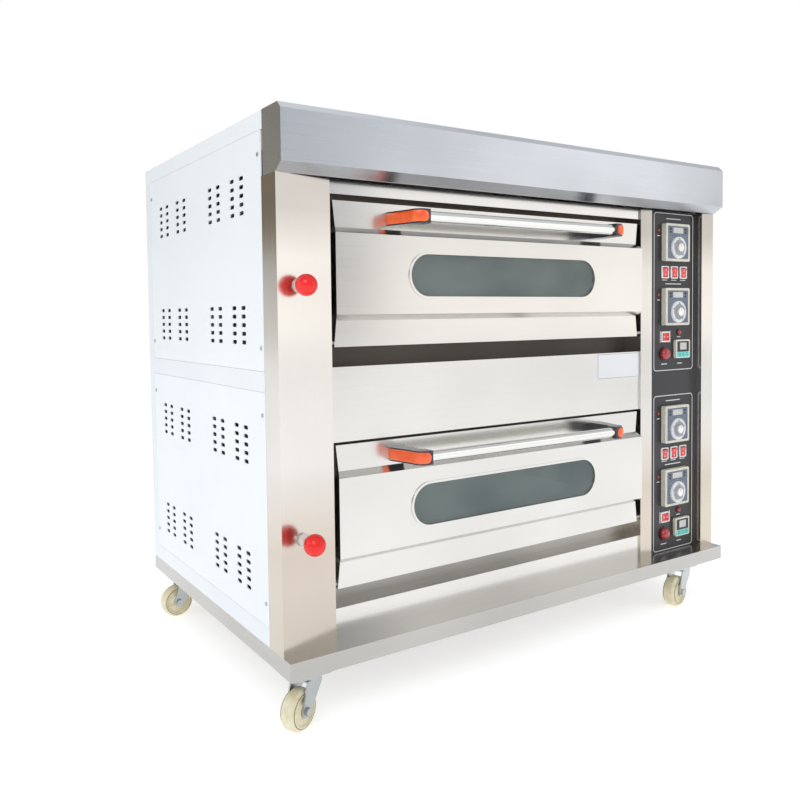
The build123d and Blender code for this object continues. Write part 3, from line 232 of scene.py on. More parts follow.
WARM_STEEL = (0.72, 0.70, 0.67)
COOL_STEEL = (0.57, 0.59, 0.62)
sheet_x = brushed_steel("stainless_along_x", WARM_STEEL, 0.20, "X")
sheet_z = brushed_steel("stainless_along_z", (0.76, 0.73, 0.69), 0.20, "Z", shift=0.07)
# Painted reflection on both columns: by height, the lower part is tinted brown and the top is darkened
# grey, multiplied into the steel's colour.
column_reflection_tones = (
    (0.12, (0.80, 0.75, 0.68)),
    (0.28, (0.80, 0.73, 0.66)),
    (0.42, (1.0, 1.0, 1.0)),
    (0.76, (1.0, 1.0, 1.0)),
    (0.84, (0.74, 0.72, 0.70)),
    (1.0, (0.66, 0.63, 0.60)),
)
shade_by_height(sheet_z, column_reflection_tones)
hood_steel = brushed_steel("stainless_hood", COOL_STEEL, 0.30, "X", shift=0.10, brushing=0.10)
base_steel = brushed_steel("stainless_base", (0.50, 0.485, 0.46), 0.24, "X", shift=0.07)
bright_steel = brushed_steel("stainless_bright", (0.74, 0.72, 0.69), 0.20, "X")
tube_steel = brushed_steel("polished_tube", (0.80, 0.79, 0.76), 0.12, "X", shift=0.03)
zinc = brushed_steel("zinc_plate", (0.52, 0.55, 0.55), 0.38, "Z", shift=0.12)
chamber_steel = brushed_steel("aluminised_sheet", (0.46, 0.44, 0.41), 0.42, "Y", shift=0.15)
# Painted shade: above half the oven's height the chamber steel is darkened to under a fifth of its
# colour, so the upper deck's recess looks shaded.
shade_by_height(chamber_steel, ((0.34, (1.0, 1.0, 1.0)), (0.50, (0.18, 0.16, 0.15))))
panel_paint = painted("pale_panel_paint", (0.80, 0.84, 0.87), (0.85, 0.88, 0.90), 0.38)
frame_paint = painted("pale_frame_paint", (0.76, 0.80, 0.83), (0.82, 0.85, 0.87), 0.40)
black_paint = painted("black_panel_paint", (0.014, 0.013, 0.015), (0.024, 0.022, 0.025), 0.42)
print_white = painted("white_print", (0.72, 0.72, 0.72), (0.84, 0.84, 0.84), 0.5)
ivory = moulded("ivory_case", (0.66, 0.64, 0.53), (0.74, 0.72, 0.62), 0.42)
face_grey = moulded("blue_grey_face", (0.11, 0.14, 0.19), (0.15, 0.18, 0.23), 0.4)
display_grey = moulded("display_grey", (0.50, 0.50, 0.49), (0.60, 0.60, 0.58), 0.16, coat=0.6)
dark_plastic = moulded("dark_plastic", (0.015, 0.016, 0.018), (0.03, 0.03, 0.033), 0.35)
dial_white = moulded("dial_white", (0.72, 0.72, 0.74), (0.80, 0.80, 0.82), 0.34, coat=0.3)
dial_grey = moulded("dial_ring_grey", (0.28, 0.29, 0.31), (0.36, 0.37, 0.39), 0.35)
switch_white = moulded("switch_white", (0.78, 0.78, 0.77), (0.86, 0.86, 0.85), 0.32, coat=0.2)
switch_red = moulded("switch_red", (0.62, 0.015, 0.02), (0.80, 0.03, 0.03), 0.2, coat=0.8)
lens_red = moulded("lens_red", (0.28, 0.004, 0.008), (0.48, 0.01, 0.015), 0.12, coat=1.0)
ball_red = moulded("ball_red", (0.78, 0.010, 0.008), (0.88, 0.016, 0.012), 0.22, coat=0.35, grain=60.0)
orange = moulded("handle_orange", (0.88, 0.085, 0.010), (0.96, 0.14, 0.016), 0.24, coat=0.6)
handle_black = moulded("handle_black", (0.008, 0.010, 0.018), (0.016, 0.018, 0.028), 0.28, coat=0.4)
bush_nylon = moulded("bush_nylon", (0.70, 0.69, 0.64), (0.80, 0.79, 0.75), 0.4)
for red in (ball_red, switch_red):
    principled(red).inputs["Specular IOR Level"].default_value = 0.3
rubber = moulded("black_rubber", (0.012, 0.012, 0.012), (0.025, 0.025, 0.025), 0.65)
tread = moulded("cream_nylon", (0.66, 0.58, 0.36), (0.80, 0.75, 0.56), 0.35, coat=0.2)
tread_brown = moulded("tread_brown", (0.20, 0.13, 0.08), (0.30, 0.20, 0.13), 0.5)
key_teal = moulded("key_teal", (0.10, 0.62, 0.56), (0.16, 0.72, 0.66), 0.4)
plate_white = painted("plate_white", (0.74, 0.75, 0.77), (0.82, 0.83, 0.84), 0.3)
hearth_stone = new_material("hearth_stone", (0.50, 0.44, 0.36), 0.85)
stone_drift = stretched_noise(hearth_stone, (30.0,) * 3)
vary_color(hearth_stone, stone_drift, (0.38, 0.33, 0.27), (0.56, 0.50, 0.42))
add_bump(hearth_stone, stretched_noise(hearth_stone, (500.0,) * 3), 0.4, 0.4 * MM)
element_metal = brushed_steel("element_sheath", (0.20, 0.19, 0.19), 0.5, "X", shift=0.2)
wool = new_material("mineral_wool", (0.52, 0.46, 0.30), 0.95)
wool_drift = stretched_noise(wool, (80.0,) * 3)
vary_color(wool, wool_drift, (0.42, 0.36, 0.22), (0.60, 0.54, 0.38))
add_bump(wool, stretched_noise(wool, (300.0,) * 3), 0.8, 2 * MM)


def window_material():
    """Heat-resistant glass with a grey-green tint, its tone and roughness drifting slowly across it.
    """
    material = new_material("oven_window", (0.32, 0.40, 0.38), 0.05)
    shader = principled(material)
    shader.inputs["Alpha"].default_value = 0.55
    shader.inputs["IOR"].default_value = 1.5
    shader.inputs["Coat Weight"].default_value = 1.0
    glass_drift = stretched_noise(material, (6.0, 6.0, 9.0), detail=3.0)
    vary_color(material, glass_drift, (0.09, 0.13, 0.13), (0.17, 0.22, 0.21))
    vary_roughness(material, glass_drift, 0.03, 0.09)
    return material


window_glass = window_material()
lamp_glass = moulded("lamp_glass", (0.80, 0.76, 0.62), (0.88, 0.84, 0.70), 0.15, coat=0.8)

node_materials = {
    "base_frame": base_steel,
    "carcass_frame": frame_paint,
    "left_column": sheet_z,
    "right_column": sheet_z,
    "control_panel": black_paint,
    "hood": hood_steel,
    "top_cover": panel_paint,
    "left_side_panels": panel_paint,
    "right_side_panels": panel_paint,
    "rear_covers": panel_paint,
    "front_panels": bright_steel,
    "oven_chambers": chamber_steel,
    "hearth_plates": hearth_stone,
    "heating_elements": element_metal,
    "insulation": wool,
    "instrument_housings": ivory,
    "switch_bezels": switch_white,
    "signal_lamps": lens_red,
    "caster_plates": zinc,
    "power_inlet": rubber,
    "hinge_pins": zinc,
    "damper_bushes": bush_nylon,
    "panel_screws": zinc,
    "oven_lamps": lamp_glass,
}
for deck in DECKS:
    node_materials |= {
        f"{deck}_door_shell": sheet_x,
        f"{deck}_door_liner": bright_steel,
        f"{deck}_door_glass": window_glass,
        f"{deck}_handle_tube": tube_steel,
        f"{deck}_handle_brackets": handle_black,
        f"{deck}_handle_caps": orange,
        f"{deck}_damper_rod": tube_steel,
        f"{deck}_damper_ball": ball_red,
        f"{deck}_top_dial": dial_white,
        f"{deck}_bottom_dial": dial_white,
        f"{deck}_top_heat_rocker": switch_red,
        f"{deck}_power_rocker": switch_red,
        f"{deck}_bottom_heat_rocker": switch_red,
        f"{deck}_light_switch": switch_red,
    }
for corner in CORNERS:
    node_materials[f"{corner}_fork"] = zinc
    node_materials[f"{corner}_wheel"] = tread
for name, material in node_materials.items():
    for material_slot in nodes[name].material_slots:
        material_slot.material = material


CAD_EDGE_ANGLE = 25
SHEET_EDGE = 0.7 * MM
BRACKET_EDGE = 1.6 * MM
ROCKER_EDGE = 0.5 * MM
CASE_EDGE = 0.6 * MM


def soften_edges(name, width, segments=2):
    """Round a CAD node's sharp edges a little, so that they catch the light."""
    bevel = nodes[name].modifiers.new("edge_rounding", "BEVEL")
    bevel.width = width
    bevel.segments = segments
    bevel.limit_method = "ANGLE"
    bevel.angle_limit = math.radians(CAD_EDGE_ANGLE)
    bevel.harden_normals = True


for name in ("base_frame", "hood", "left_column", "right_column", "front_panels"):
    soften_edges(name, SHEET_EDGE)
for deck in DECKS:
    soften_edges(f"{deck}_door_shell", SHEET_EDGE)
    soften_edges(f"{deck}_handle_brackets", BRACKET_EDGE, segments=3)
    for key in ROCKER_KEYS:
        soften_edges(f"{deck}_{key}", ROCKER_EDGE)
for name in ("instrument_housings", "switch_bezels"):
    soften_edges(name, CASE_EDGE)

# ---------------------------------------------------------------- building pieces
# Angles in degrees.
OUTLINE_EDGE_ANGLE = 40
SMOOTH_ANGLE = 30
FRONT = Vector((0, -1, 0))


def rounded_rect(width, height, radius, steps=6):
    """The outline of a rounded rectangle round the origin, as x and z."""
    points = []
    for turn, (sx, sz) in enumerate(((1, 1), (-1, 1), (-1, -1), (1, -1))):
        cx = sx * (width / 2 - radius)
        cz = sz * (height / 2 - radius)
        for i in range(steps + 1):
            angle = math.pi / 2 * (turn + i / steps)
            points.append((cx + radius * math.cos(angle), cz + radius * math.sin(angle)))
    return points


def circle(radius, steps=48):
    """The outline of a circle round the origin, as x and z."""
    turns = [2 * math.pi * i / steps for i in range(steps)]
    return [(radius * math.cos(a), radius * math.sin(a)) for a in turns]


def bar(width, height):
    """A plain bar's outline round the origin, as x and z."""
    x, z = width / 2, height / 2
    return [(-x, -z), (x, -z), (x, z), (-x, z)]


def moved(points, dx, dz):
    """An outline moved by dx and dz."""
    return [(x + dx, z + dz) for x, z in points]


def turned(points, angle):
    """An outline turned round the origin."""
    c, s = math.cos(angle), math.sin(angle)
    return [(x * c - z * s, x * s + z * c) for x, z in points]


def close_mesh(build, mesh):
    """Turn all the faces outward and write them to a mesh."""
    bmesh.ops.recalc_face_normals(build, faces=build.faces)
    build.to_mesh(mesh)
    build.free()


def settle(mesh, name, body, material, smooth=SMOOTH_ANGLE):
    """Make a mesh into a piece that rides on a body."""
    obj = bpy.data.objects.new(name, mesh)
    bpy.context.scene.collection.objects.link(obj)
    mesh.materials.append(material)
    mesh.shade_smooth()
    mesh.set_sharp_from_angle(angle=math.radians(smooth))
    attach(obj, body)
    return obj


def front_prism(name, parts, body, material, bevel=0.0):
    """A piece of flat parts that face the front.

    Each part is (centre, outline, inner outline or None, height): it stands out from the
    centre's plane towards -Y by its height.
    """
    mesh = bpy.data.meshes.new(name)
    build = bmesh.new()
    for centre, outline, hole, height in parts:
        rings = []
        for points in (outline, hole):
            if points is None:
                continue
            base = [build.verts.new(centre + Vector((x, 0, z))) for x, z in points]
            top = [build.verts.new(centre + Vector((x, -height, z))) for x, z in points]
            rings.append((base, top))
            for i in range(len(points)):
                j = (i + 1) % len(points)
                build.faces.new((base[i], base[j], top[j], top[i]))
        if hole is None:
            build.faces.new(rings[0][1])
            build.faces.new(list(reversed(rings[0][0])))
        else:
            (base_out, top_out), (base_in, top_in) = rings
            for i in range(len(outline)):
                j = (i + 1) % len(outline)
                build.faces.new((top_out[i], top_out[j], top_in[j], top_in[i]))
                build.faces.new((base_out[j], base_out[i], base_in[i], base_in[j]))
    close_mesh(build, mesh)
    obj = settle(mesh, name, body, material)
    if bevel:
        rounding = obj.modifiers.new("rounding", "BEVEL")
        rounding.width = bevel
        rounding.segments = 2
        rounding.limit_method = "ANGLE"
        rounding.angle_limit = math.radians(OUTLINE_EDGE_ANGLE)
    return obj


# ---------------------------------------------------------------- printed panel
panel_low, panel_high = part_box("control_panel")
panel_x = (panel_low.x + panel_high.x) / 2
panel_y = panel_low.y
sills = {deck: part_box(f"{deck}_door_shell")[0].z for deck in DECKS}


def on_panel(deck, across, up):
    """A place on the panel, from its middle line and from the sill of the deck's door."""
    return Vector((panel_x + across * MM, panel_y, sills[deck] + up * MM))


PRINT = 0.25 * MM

# The frame line round each deck's half: place of its middle in mm, then its two outlines.
FRAME_LINE_PLACE = (2, 109)
FRAME_LINE_OUTER = (154 * MM, 398 * MM, 9 * MM)
FRAME_LINE_INNER = (150.5 * MM, 394.5 * MM, 7.5 * MM)

# Bars in place of the printed words, in mm: across, up, width, height, corner radius.
ROCKER_COLUMN = 2
ROCKER_PITCH = 35.5
ROCKER_LEGEND_UP = 139.5
LEGEND_BARS = {
    "top_controller": (0, 294, 56, 2.2, 1),
    "bottom_controller": (0, 130, 62, 2.2, 1),
    "top_lamp": (-57, 250, 10, 2, 0.9),
    "bottom_lamp": (-57, 89, 10, 2, 0.9),
    "signal_lamp": (22, -5, 14, 2, 0.9),
    "buzzer": (-35, -73, 22, 2.2, 1),
    "timer": (26, -73, 18, 2.2, 1),
    "left_rocker": (ROCKER_COLUMN - ROCKER_PITCH, ROCKER_LEGEND_UP, 21, 1.6, 0.7),
    "middle_rocker": (ROCKER_COLUMN, ROCKER_LEGEND_UP, 21, 1.6, 0.7),
    "right_rocker": (ROCKER_COLUMN + ROCKER_PITCH, ROCKER_LEGEND_UP, 21, 1.6, 0.7),
    "left_of_light_switch": (-50, -4, 1.8, 30, 0.8),
    "right_of_light_switch": (-12, -4, 1.8, 30, 0.8),
}

for deck in DECKS:
    outer, inner = rounded_rect(*FRAME_LINE_OUTER), rounded_rect(*FRAME_LINE_INNER)
    front_prism(
        f"{deck}_panel_outline",
        [(on_panel(deck, *FRAME_LINE_PLACE), outer, inner, PRINT)],
        "root",
        print_white,
    )
    legends = []
    for across, up, width, height, radius in LEGEND_BARS.values():
        outline = rounded_rect(width * MM, height * MM, radius * MM)
        legends.append((on_panel(deck, across, up), outline, None, PRINT))
    front_prism(f"{deck}_panel_marks", legends, "root", print_white)

# ---------------------------------------------------------------- controllers and dials
# Outlines are width, height and corner radius; bars are width and height.
FACE_RISE = 13 * MM
FACE_OUTLINE = (80 * MM, 82 * MM, 3 * MM)
FACE_THICKNESS = 0.3 * MM
RIM_OUTER = (84 * MM, 86 * MM, 4 * MM)
RIM_INNER = (80.5 * MM, 82.5 * MM, 3 * MM)
RIM_THICKNESS = 0.7 * MM
DISPLAY_RISE = 30 * MM
DISPLAY_OUTLINE = (38 * MM, 14 * MM, 1 * MM)
DISPLAY_THICKNESS = 0.5 * MM
WINDOW_ACROSS = 29 * MM
WINDOW_ROWS = ((3.5 * MM, 8 * MM), (-4.5 * MM, 6 * MM))
WINDOW_HEIGHT = 5 * MM
WINDOW_CORNER = 0.8 * MM
WINDOW_THICKNESS = 0.4 * MM

DISC_FRONT = 4.5 * MM
RING_OUTER_R = 20 * MM
RING_INNER_R = 11.3 * MM
RING_THICKNESS = 0.6 * MM
GRIP_COUNT = 24
GRIP_BAR = (1.3 * MM, 1.4 * MM)
GRIP_R = 10.6 * MM
GRIP_LENGTH = 4.8 * MM
KNOB_CAP_R = 9.4 * MM
KNOB_CAP_THICKNESS = 0.5 * MM
FINE_BEVEL = 0.3 * MM
POINTER_BAR = (1.2 * MM, 6 * MM)
POINTER_R = 5 * MM
POINTER_THICKNESS = 0.2 * MM
DIAL_NUMBERS = ("0", "100", "200", "300", "400")
FIRST_NUMBER = -140
NUMBER_STEP = 70
NUMBER_SIZE = 4.2 * MM
NUMBER_THICKNESS = 0.08 * MM
NUMBER_R = 21.6 * MM
NUMBER_LIFT = 0.1 * MM

# Marks round a circle: count, step in degrees, then millimetres; each fifth mark is the long one.
FIRST_MARK = -150
FACE_TICKS = {
    "count": 21,
    "step": 15,
    "width": 0.8,
    "long_mark": 2.6,
    "short_mark": 1.6,
    "radius": 31.5,
    "height": 0.2,
}
DIAL_SCALE = {
    "count": 31,
    "step": 10,
    "width": 0.5,
    "long_mark": 3.2,
    "short_mark": 2,
    "radius": 25,
    "height": 0.15,
}


def round_marks(centre, count, step, width, long_mark, short_mark, radius, height):
    """Marks round a circle, clockwise as seen from the front, starting at FIRST_MARK."""
    parts = []
    for i in range(count):
        angle = math.radians(FIRST_MARK + step * i)
        length = short_mark if i % 5 else long_mark
        mark = moved(bar(width * MM, length * MM), 0, radius * MM)
        parts.append((centre, turned(mark, -angle), None, height * MM))
    return parts


def dial_number(dial, index, number, centre):
    """One raised number on a dial's disc, upright where it points up."""
    curve = bpy.data.curves.new(f"{dial}_number_{index}", "FONT")
    curve.body = number
    curve.size = NUMBER_SIZE
    curve.align_x = "CENTER"
    curve.align_y = "CENTER"
    curve.extrude = NUMBER_THICKNESS
    text = bpy.data.objects.new(curve.name, curve)
    mesh = bpy.data.meshes.new_from_object(text)
    bpy.data.objects.remove(text)
    angle = math.radians(FIRST_NUMBER + NUMBER_STEP * index)
    place = Matrix.Translation(centre + FRONT * NUMBER_LIFT)
    swing = Matrix.Rotation(angle, 4, "Y") @ Matrix.Translation(Vector((0, 0, NUMBER_R)))
    stand = Matrix.Rotation(math.pi / 2, 4, "X")
    mesh.transform(place @ swing @ stand)
    settle(mesh, f"{dial}_number_{number}", dial, dark_plastic)


for deck in DECKS:
    for place in ("top", "bottom"):
        dial = f"{deck}_{place}_dial"
        tag = f"{deck}_{place}_controller"
        axis = Vector(joints[f"{dial}_turn"]["pos_m"])
        knob_front = Vector((axis.x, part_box(dial)[0].y, axis.z))
        face = axis + Vector((0, 0, FACE_RISE))
        front_prism(
            f"{tag}_face",
            [(face, rounded_rect(*FACE_OUTLINE), None, FACE_THICKNESS)],
            "root",
            face_grey,
        )
        front_prism(
            f"{tag}_rim",
            [(face, rounded_rect(*RIM_OUTER), rounded_rect(*RIM_INNER), RIM_THICKNESS)],
            "root",
            ivory,
        )
        display = face + Vector((0, -FACE_THICKNESS, DISPLAY_RISE))
        front_prism(
            f"{tag}_display",
            [(display, rounded_rect(*DISPLAY_OUTLINE), None, DISPLAY_THICKNESS)],
            "root",
            display_grey,
        )
        windows = []
        for across in (-WINDOW_ACROSS, WINDOW_ACROSS):
            for up, width in WINDOW_ROWS:
                outline = rounded_rect(width, WINDOW_HEIGHT, WINDOW_CORNER)
                windows.append((display + Vector((across, 0, up)), outline, None, WINDOW_THICKNESS))
        front_prism(f"{tag}_windows", windows, "root", dark_plastic)
        on_face = axis + FRONT * FACE_THICKNESS
        ticks = round_marks(on_face, **FACE_TICKS)
        front_prism(f"{tag}_ticks", ticks, "root", print_white)

        centre = axis + FRONT * DISC_FRONT
        front_prism(
            f"{dial}_ring",
            [(centre, circle(RING_OUTER_R), circle(RING_INNER_R), RING_THICKNESS)],
            dial,
            dial_grey,
        )
        grips = []
        for i in range(GRIP_COUNT):
            rib = turned(moved(bar(*GRIP_BAR), 0, GRIP_R), 2 * math.pi * i / GRIP_COUNT)
            grips.append((centre, rib, None, GRIP_LENGTH))
        front_prism(f"{dial}_grips", grips, dial, tube_steel)
        front_prism(
            f"{dial}_knob_cap",
            [(knob_front, circle(KNOB_CAP_R), None, KNOB_CAP_THICKNESS)],
            dial,
            tube_steel,
            bevel=FINE_BEVEL,
        )
        on_cap = knob_front + FRONT * KNOB_CAP_THICKNESS
        front_prism(
            f"{dial}_pointer",
            [(on_cap, moved(bar(*POINTER_BAR), 0, POINTER_R), None, POINTER_THICKNESS)],
            dial,
            lens_red,
        )
        scale = round_marks(centre, **DIAL_SCALE)
        front_prism(f"{dial}_scale", scale, dial, dark_plastic)
        for index, number in enumerate(DIAL_NUMBERS):
            dial_number(dial, index, number, centre)

# ---------------------------------------------------------------- marks on the rockers
ROCKER_TILT = math.radians(7)
ROCKER_MARK_R = 5.5 * MM
ROCKER_STROKE = (1.2 * MM, 4.6 * MM)
ROCKER_LOOP_OUTER_R = 2.3 * MM
ROCKER_LOOP_INNER_R = 1.4 * MM
ROCKER_LOOP_STEPS = 20
ROCKER_MARK_HEIGHT = 0.5 * MM
ROCKER_FACE_MIDDLE = 3.0 * MM
ROCKER_FACE_RISE = 1.5 * MM
ROCKER_FACE_HALF = 11 * MM

for deck in DECKS:
    for key in ROCKER_KEYS:
        name = f"{deck}_{key}"
        pivot = Vector(joints[f"{name}_tilt"]["pos_m"])
        stroke = moved(bar(*ROCKER_STROKE), 0, ROCKER_MARK_R)
        loop_outer = moved(circle(ROCKER_LOOP_OUTER_R, ROCKER_LOOP_STEPS), 0, -ROCKER_MARK_R)
        loop_inner = moved(circle(ROCKER_LOOP_INNER_R, ROCKER_LOOP_STEPS), 0, -ROCKER_MARK_R)
        origin = Vector((0, 0, 0))
        marks = [
            (origin, stroke, None, ROCKER_MARK_HEIGHT),
            (origin, loop_outer, loop_inner, ROCKER_MARK_HEIGHT),
        ]
        mesh = front_prism(f"{name}_marks", marks, name, print_white).data
        for vertex in mesh.vertices:
            outward = abs(vertex.co.z) / ROCKER_FACE_HALF
            vertex.co.y -= ROCKER_FACE_MIDDLE + ROCKER_FACE_RISE * outward
        if key == "light_switch":
            turn = Matrix.Rotation(-ROCKER_TILT, 4, "Z") @ Matrix.Rotation(math.pi / 2, 4, "Y")
        else:
            turn = Matrix.Rotation(ROCKER_TILT, 4, "X")
        mesh.transform(Matrix.Translation(pivot) @ turn)

# ---------------------------------------------------------------- timers and lamp collars
TIMER_PLACE = (30, -36)
TIMER_FRONT = 8 * MM
TIMER_FIELD = (46 * MM, 27 * MM, 2 * MM)
TIMER_FIELD_UP = 6 * MM
TIMER_DISPLAY = (26 * MM, 18 * MM, 1 * MM)
TIMER_DISPLAY_UP = 7 * MM
TIMER_KEYS = (48 * MM, 12 * MM, 2 * MM)
TIMER_KEYS_UP = -14.5 * MM
TIMER_LAYER = 0.4 * MM
KEY_PITCH = 14 * MM
KEY_RING_OUTER_R = 4.2 * MM
KEY_RING_INNER_R = 3.3 * MM
KEY_RING_STEPS = 24
KEY_RING_HEIGHT = 0.2 * MM

# Collars round the lamps, in mm: across, up, outer radius, inner radius, height.
LAMP_COLLARS = {
    "signal_lamp": (22, 7, 8.5, 6.6, 1.4),
    "buzzer": (-35, -47, 18, 15.6, 2.2),
    "top_lamp": (-57, 263, 5.2, 4.1, 0.8),
    "bottom_lamp": (-57, 102, 5.2, 4.1, 0.8),
}

for deck in DECKS:
    timer = on_panel(deck, *TIMER_PLACE) + FRONT * TIMER_FRONT
    timer_layers = {
        "field": (TIMER_FIELD, TIMER_FIELD_UP, 0.0, dark_plastic),
        "display": (TIMER_DISPLAY, TIMER_DISPLAY_UP, TIMER_LAYER, display_grey),
        "keys": (TIMER_KEYS, TIMER_KEYS_UP, 0.0, key_teal),
    }
    for part, (outline, up, out, material) in timer_layers.items():
        spot = timer + Vector((0, -out, up))
        front_prism(
            f"{deck}_timer_{part}",
            [(spot, rounded_rect(*outline), None, TIMER_LAYER)],
            "root",
            material,
        )
    key_rings = []
    for across in (-KEY_PITCH, 0, KEY_PITCH):
        outer = circle(KEY_RING_OUTER_R, KEY_RING_STEPS)
        inner = circle(KEY_RING_INNER_R, KEY_RING_STEPS)
        spot = timer + Vector((across, -TIMER_LAYER, TIMER_KEYS_UP))
        key_rings.append((spot, outer, inner, KEY_RING_HEIGHT))
    front_prism(f"{deck}_timer_key_rings", key_rings, "root", dark_plastic)
    collars = []
    for across, up, outer, inner, height in LAMP_COLLARS.values():
        spot = on_panel(deck, across, up)
        collars.append((spot, circle(outer * MM), circle(inner * MM), height * MM))
    front_prism(
        f"{deck}_lamp_collars",
        collars,
        "root",
        dark_plastic,
        bevel=FINE_BEVEL,
    )

# ---------------------------------------------------------------- blank plate and door gaskets
PLATE_OUTLINE = (146 * MM, 60 * MM, 1.5 * MM)
PLATE_THICKNESS = 0.5 * MM
PLATE_FROM_RIGHT = 75 * MM
PLATE_BELOW_SILL = 70 * MM
BORDER_OUTER = (144 * MM, 58 * MM, 1.5 * MM)
BORDER_INNER = (142.6 * MM, 56.6 * MM, 1.2 * MM)
BORDER_THICKNESS = 0.1 * MM
GASKET_MARGIN = (24 * MM, 16 * MM)
GASKET_WIDTH = 8 * MM
GASKET_CORNER = 12 * MM
GASKET_INNER_CORNER = 6 * MM
GASKET_HEIGHT = 1.6 * MM
GASKET_BEVEL = 0.6 * MM

strip_low, strip_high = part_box("front_panels")
plate = Vector((strip_high.x - PLATE_FROM_RIGHT, strip_low.y, sills["upper"] - PLATE_BELOW_SILL))
front_prism(
    "blank_plate",
    [(plate, rounded_rect(*PLATE_OUTLINE), None, PLATE_THICKNESS)],
    "root",
    plate_white,
)
on_plate = plate + FRONT * PLATE_THICKNESS
outer, inner = rounded_rect(*BORDER_OUTER), rounded_rect(*BORDER_INNER)
front_prism(
    "blank_plate_border",
    [(on_plate, outer, inner, BORDER_THICKNESS)],
    "root",
    face_grey,
)

for deck in DECKS:
    low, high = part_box(f"{deck}_door_liner")
    middle = Vector(((low.x + high.x) / 2, high.y + GASKET_HEIGHT, (low.z + high.z) / 2))
    width = high.x - low.x - GASKET_MARGIN[0]
    height = high.z - low.z - GASKET_MARGIN[1]
    outer = rounded_rect(width, height, GASKET_CORNER)
    inner = rounded_rect(width - 2 * GASKET_WIDTH, height - 2 * GASKET_WIDTH, GASKET_INNER_CORNER)
    front_prism(
        f"{deck}_door_gasket",
        [(middle, outer, inner, GASKET_HEIGHT)],
        f"{deck}_door",
        rubber,
        bevel=GASKET_BEVEL,
    )

# ---------------------------------------------------------------- handle ends
CAP_NOSE_INSET = 14 * MM
CAP_HEEL_DEPTH = 27 * MM
CAP_CORNER = 20 * MM
CAP_OVERLAP = 7 * MM
CAP_STRAIGHT_STEPS = 6
CAP_CORNER_STEPS = 14
CAP_ACROSS_STEPS = 14
CAP_HALF_HEIGHT = 11 * MM
CAP_CROWN = 2.9 * MM
CAP_CROWN_SHAPE = 0.6
CAP_CLEARANCE = 0.05 * MM
CAP_TIP_START = 0.6 * MM
CAP_SMOOTH_ANGLE = 60


def arc_points(centre, radius, start, end, steps):
    """Points along an arc in plan, from one angle to another in degrees."""
    points = []
    for i in range(steps + 1):
        a = math.radians(start + (end - start) * i / steps)
        points.append(Vector((centre[0] + radius * math.cos(a), centre[1] + radius * math.sin(a))))
    return points


def cap_path(bracket_low, bracket_high):
    """The outside of a right-hand bracket in plan, from its tip on the collar to the door."""
    steps = CAP_STRAIGHT_STEPS
    nose_x = bracket_high.x - CAP_NOSE_INSET
    front = bracket_low.y
    heel = Vector((nose_x, front + CAP_HEEL_DEPTH))
    foot = Vector((bracket_high.x, bracket_high.y))
    start_x = nose_x - CAP_CORNER
    path = [Vector((start_x - CAP_OVERLAP * (1 - i / steps), front)) for i in range(steps)]
    path += arc_points((start_x, front + CAP_CORNER), CAP_CORNER, -90, 0, CAP_CORNER_STEPS)
    path += [heel.lerp(foot, i / steps) for i in range(steps + 1)]
    return path


def rounded_cap(name, path, mirror_x, z, body):
    """A moulded cover that wraps a bracket, crowned in height, with a round tip."""
    mesh = bpy.data.meshes.new(name)
    build = bmesh.new()
    rings = []
    total = len(path) - 1
    run = CAP_TIP_START
    for i, point in enumerate(path):
        if i:
            run += (point - path[i - 1]).length
        ahead = path[min(i + 1, total)] - path[max(i - 1, 0)]
        outward = Vector((ahead.y, -ahead.x)).normalized()
        tip = min(1.0, run / CAP_HALF_HEIGHT)
        half_height = CAP_HALF_HEIGHT * math.sqrt(1 - (1 - tip) ** 2)
        crown = CAP_CROWN * math.sqrt(tip)
        outer, inner = [], []
        for k in range(CAP_ACROSS_STEPS + 1):
            angle = math.pi * k / CAP_ACROSS_STEPS
            height = -half_height * math.cos(angle)
            bulge = crown * math.sin(angle) ** CAP_CROWN_SHAPE
            for side, reach in ((outer, bulge), (inner, CAP_CLEARANCE)):
                x, y = point + outward * reach
                if mirror_x is not None:
                    x = 2 * mirror_x - x
                side.append(build.verts.new((x, y, z + height)))
        rings.append(outer + inner[::-1][1:-1])
    count = len(rings[0])
    for here, there in zip(rings, rings[1:]):
        for k in range(count):
            m = (k + 1) % count
            build.faces.new((here[k], here[m], there[m], there[k]))
    build.faces.new(rings[0])
    build.faces.new(list(reversed(rings[-1])))
    close_mesh(build, mesh)
    return settle(mesh, name, body, orange, smooth=CAP_SMOOTH_ANGLE)


for deck in DECKS:
    low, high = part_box(f"{deck}_handle_brackets")
    path = cap_path(low, high)
    z = (low.z + high.z) / 2
    for side, mirror_x in (("right", None), ("left", (low.x + high.x) / 2)):
        cap = rounded_cap(f"{deck}_handle_cap_{side}", path, mirror_x, z, f"{deck}_door")
        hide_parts(f"{deck}_handle_caps")

# ---------------------------------------------------------------- lines on the caster wheels
# The line's section: each corner's radius and distance from the wheel's middle, in mm.
TREAD_LINE_STEPS = 72
TREAD_LINE_SECTION = ((30.2, 15.5), (31.2, 15.9), (31.9, 15.0), (31.0, 14.4))

for corner in CORNERS:
    wheel = f"{corner}_wheel"
    roll = joints[f"{corner}_roll"]
    centre = Vector(roll["pos_m"])
    axle = Vector(roll["axis"]).normalized()
    mesh = bpy.data.meshes.new(f"{corner}_tread_lines")
    build = bmesh.new()
    for side in (-1, 1):
        loops = []
        for i in range(TREAD_LINE_STEPS):
            turn = Matrix.Rotation(2 * math.pi * i / TREAD_LINE_STEPS, 4, axle)
            loop = []
            for radius, across in TREAD_LINE_SECTION:
                offset = Vector((0, 0, radius * MM)) + axle * side * across * MM
                loop.append(build.verts.new(centre + turn @ offset))
            loops.append(loop)
        for i, here in enumerate(loops):
            there = loops[(i + 1) % TREAD_LINE_STEPS]
            for k in range(len(here)):
                m = (k + 1) % len(here)
                build.faces.new((here[k], here[m], there[m], there[k]))
    close_mesh(build, mesh)
    settle(mesh, f"{corner}_tread_lines", wheel, tread_brown)

# ---------------------------------------------------------------- floor
FLOOR_REACH = 14.0
FLOOR_GLOW = 0.46

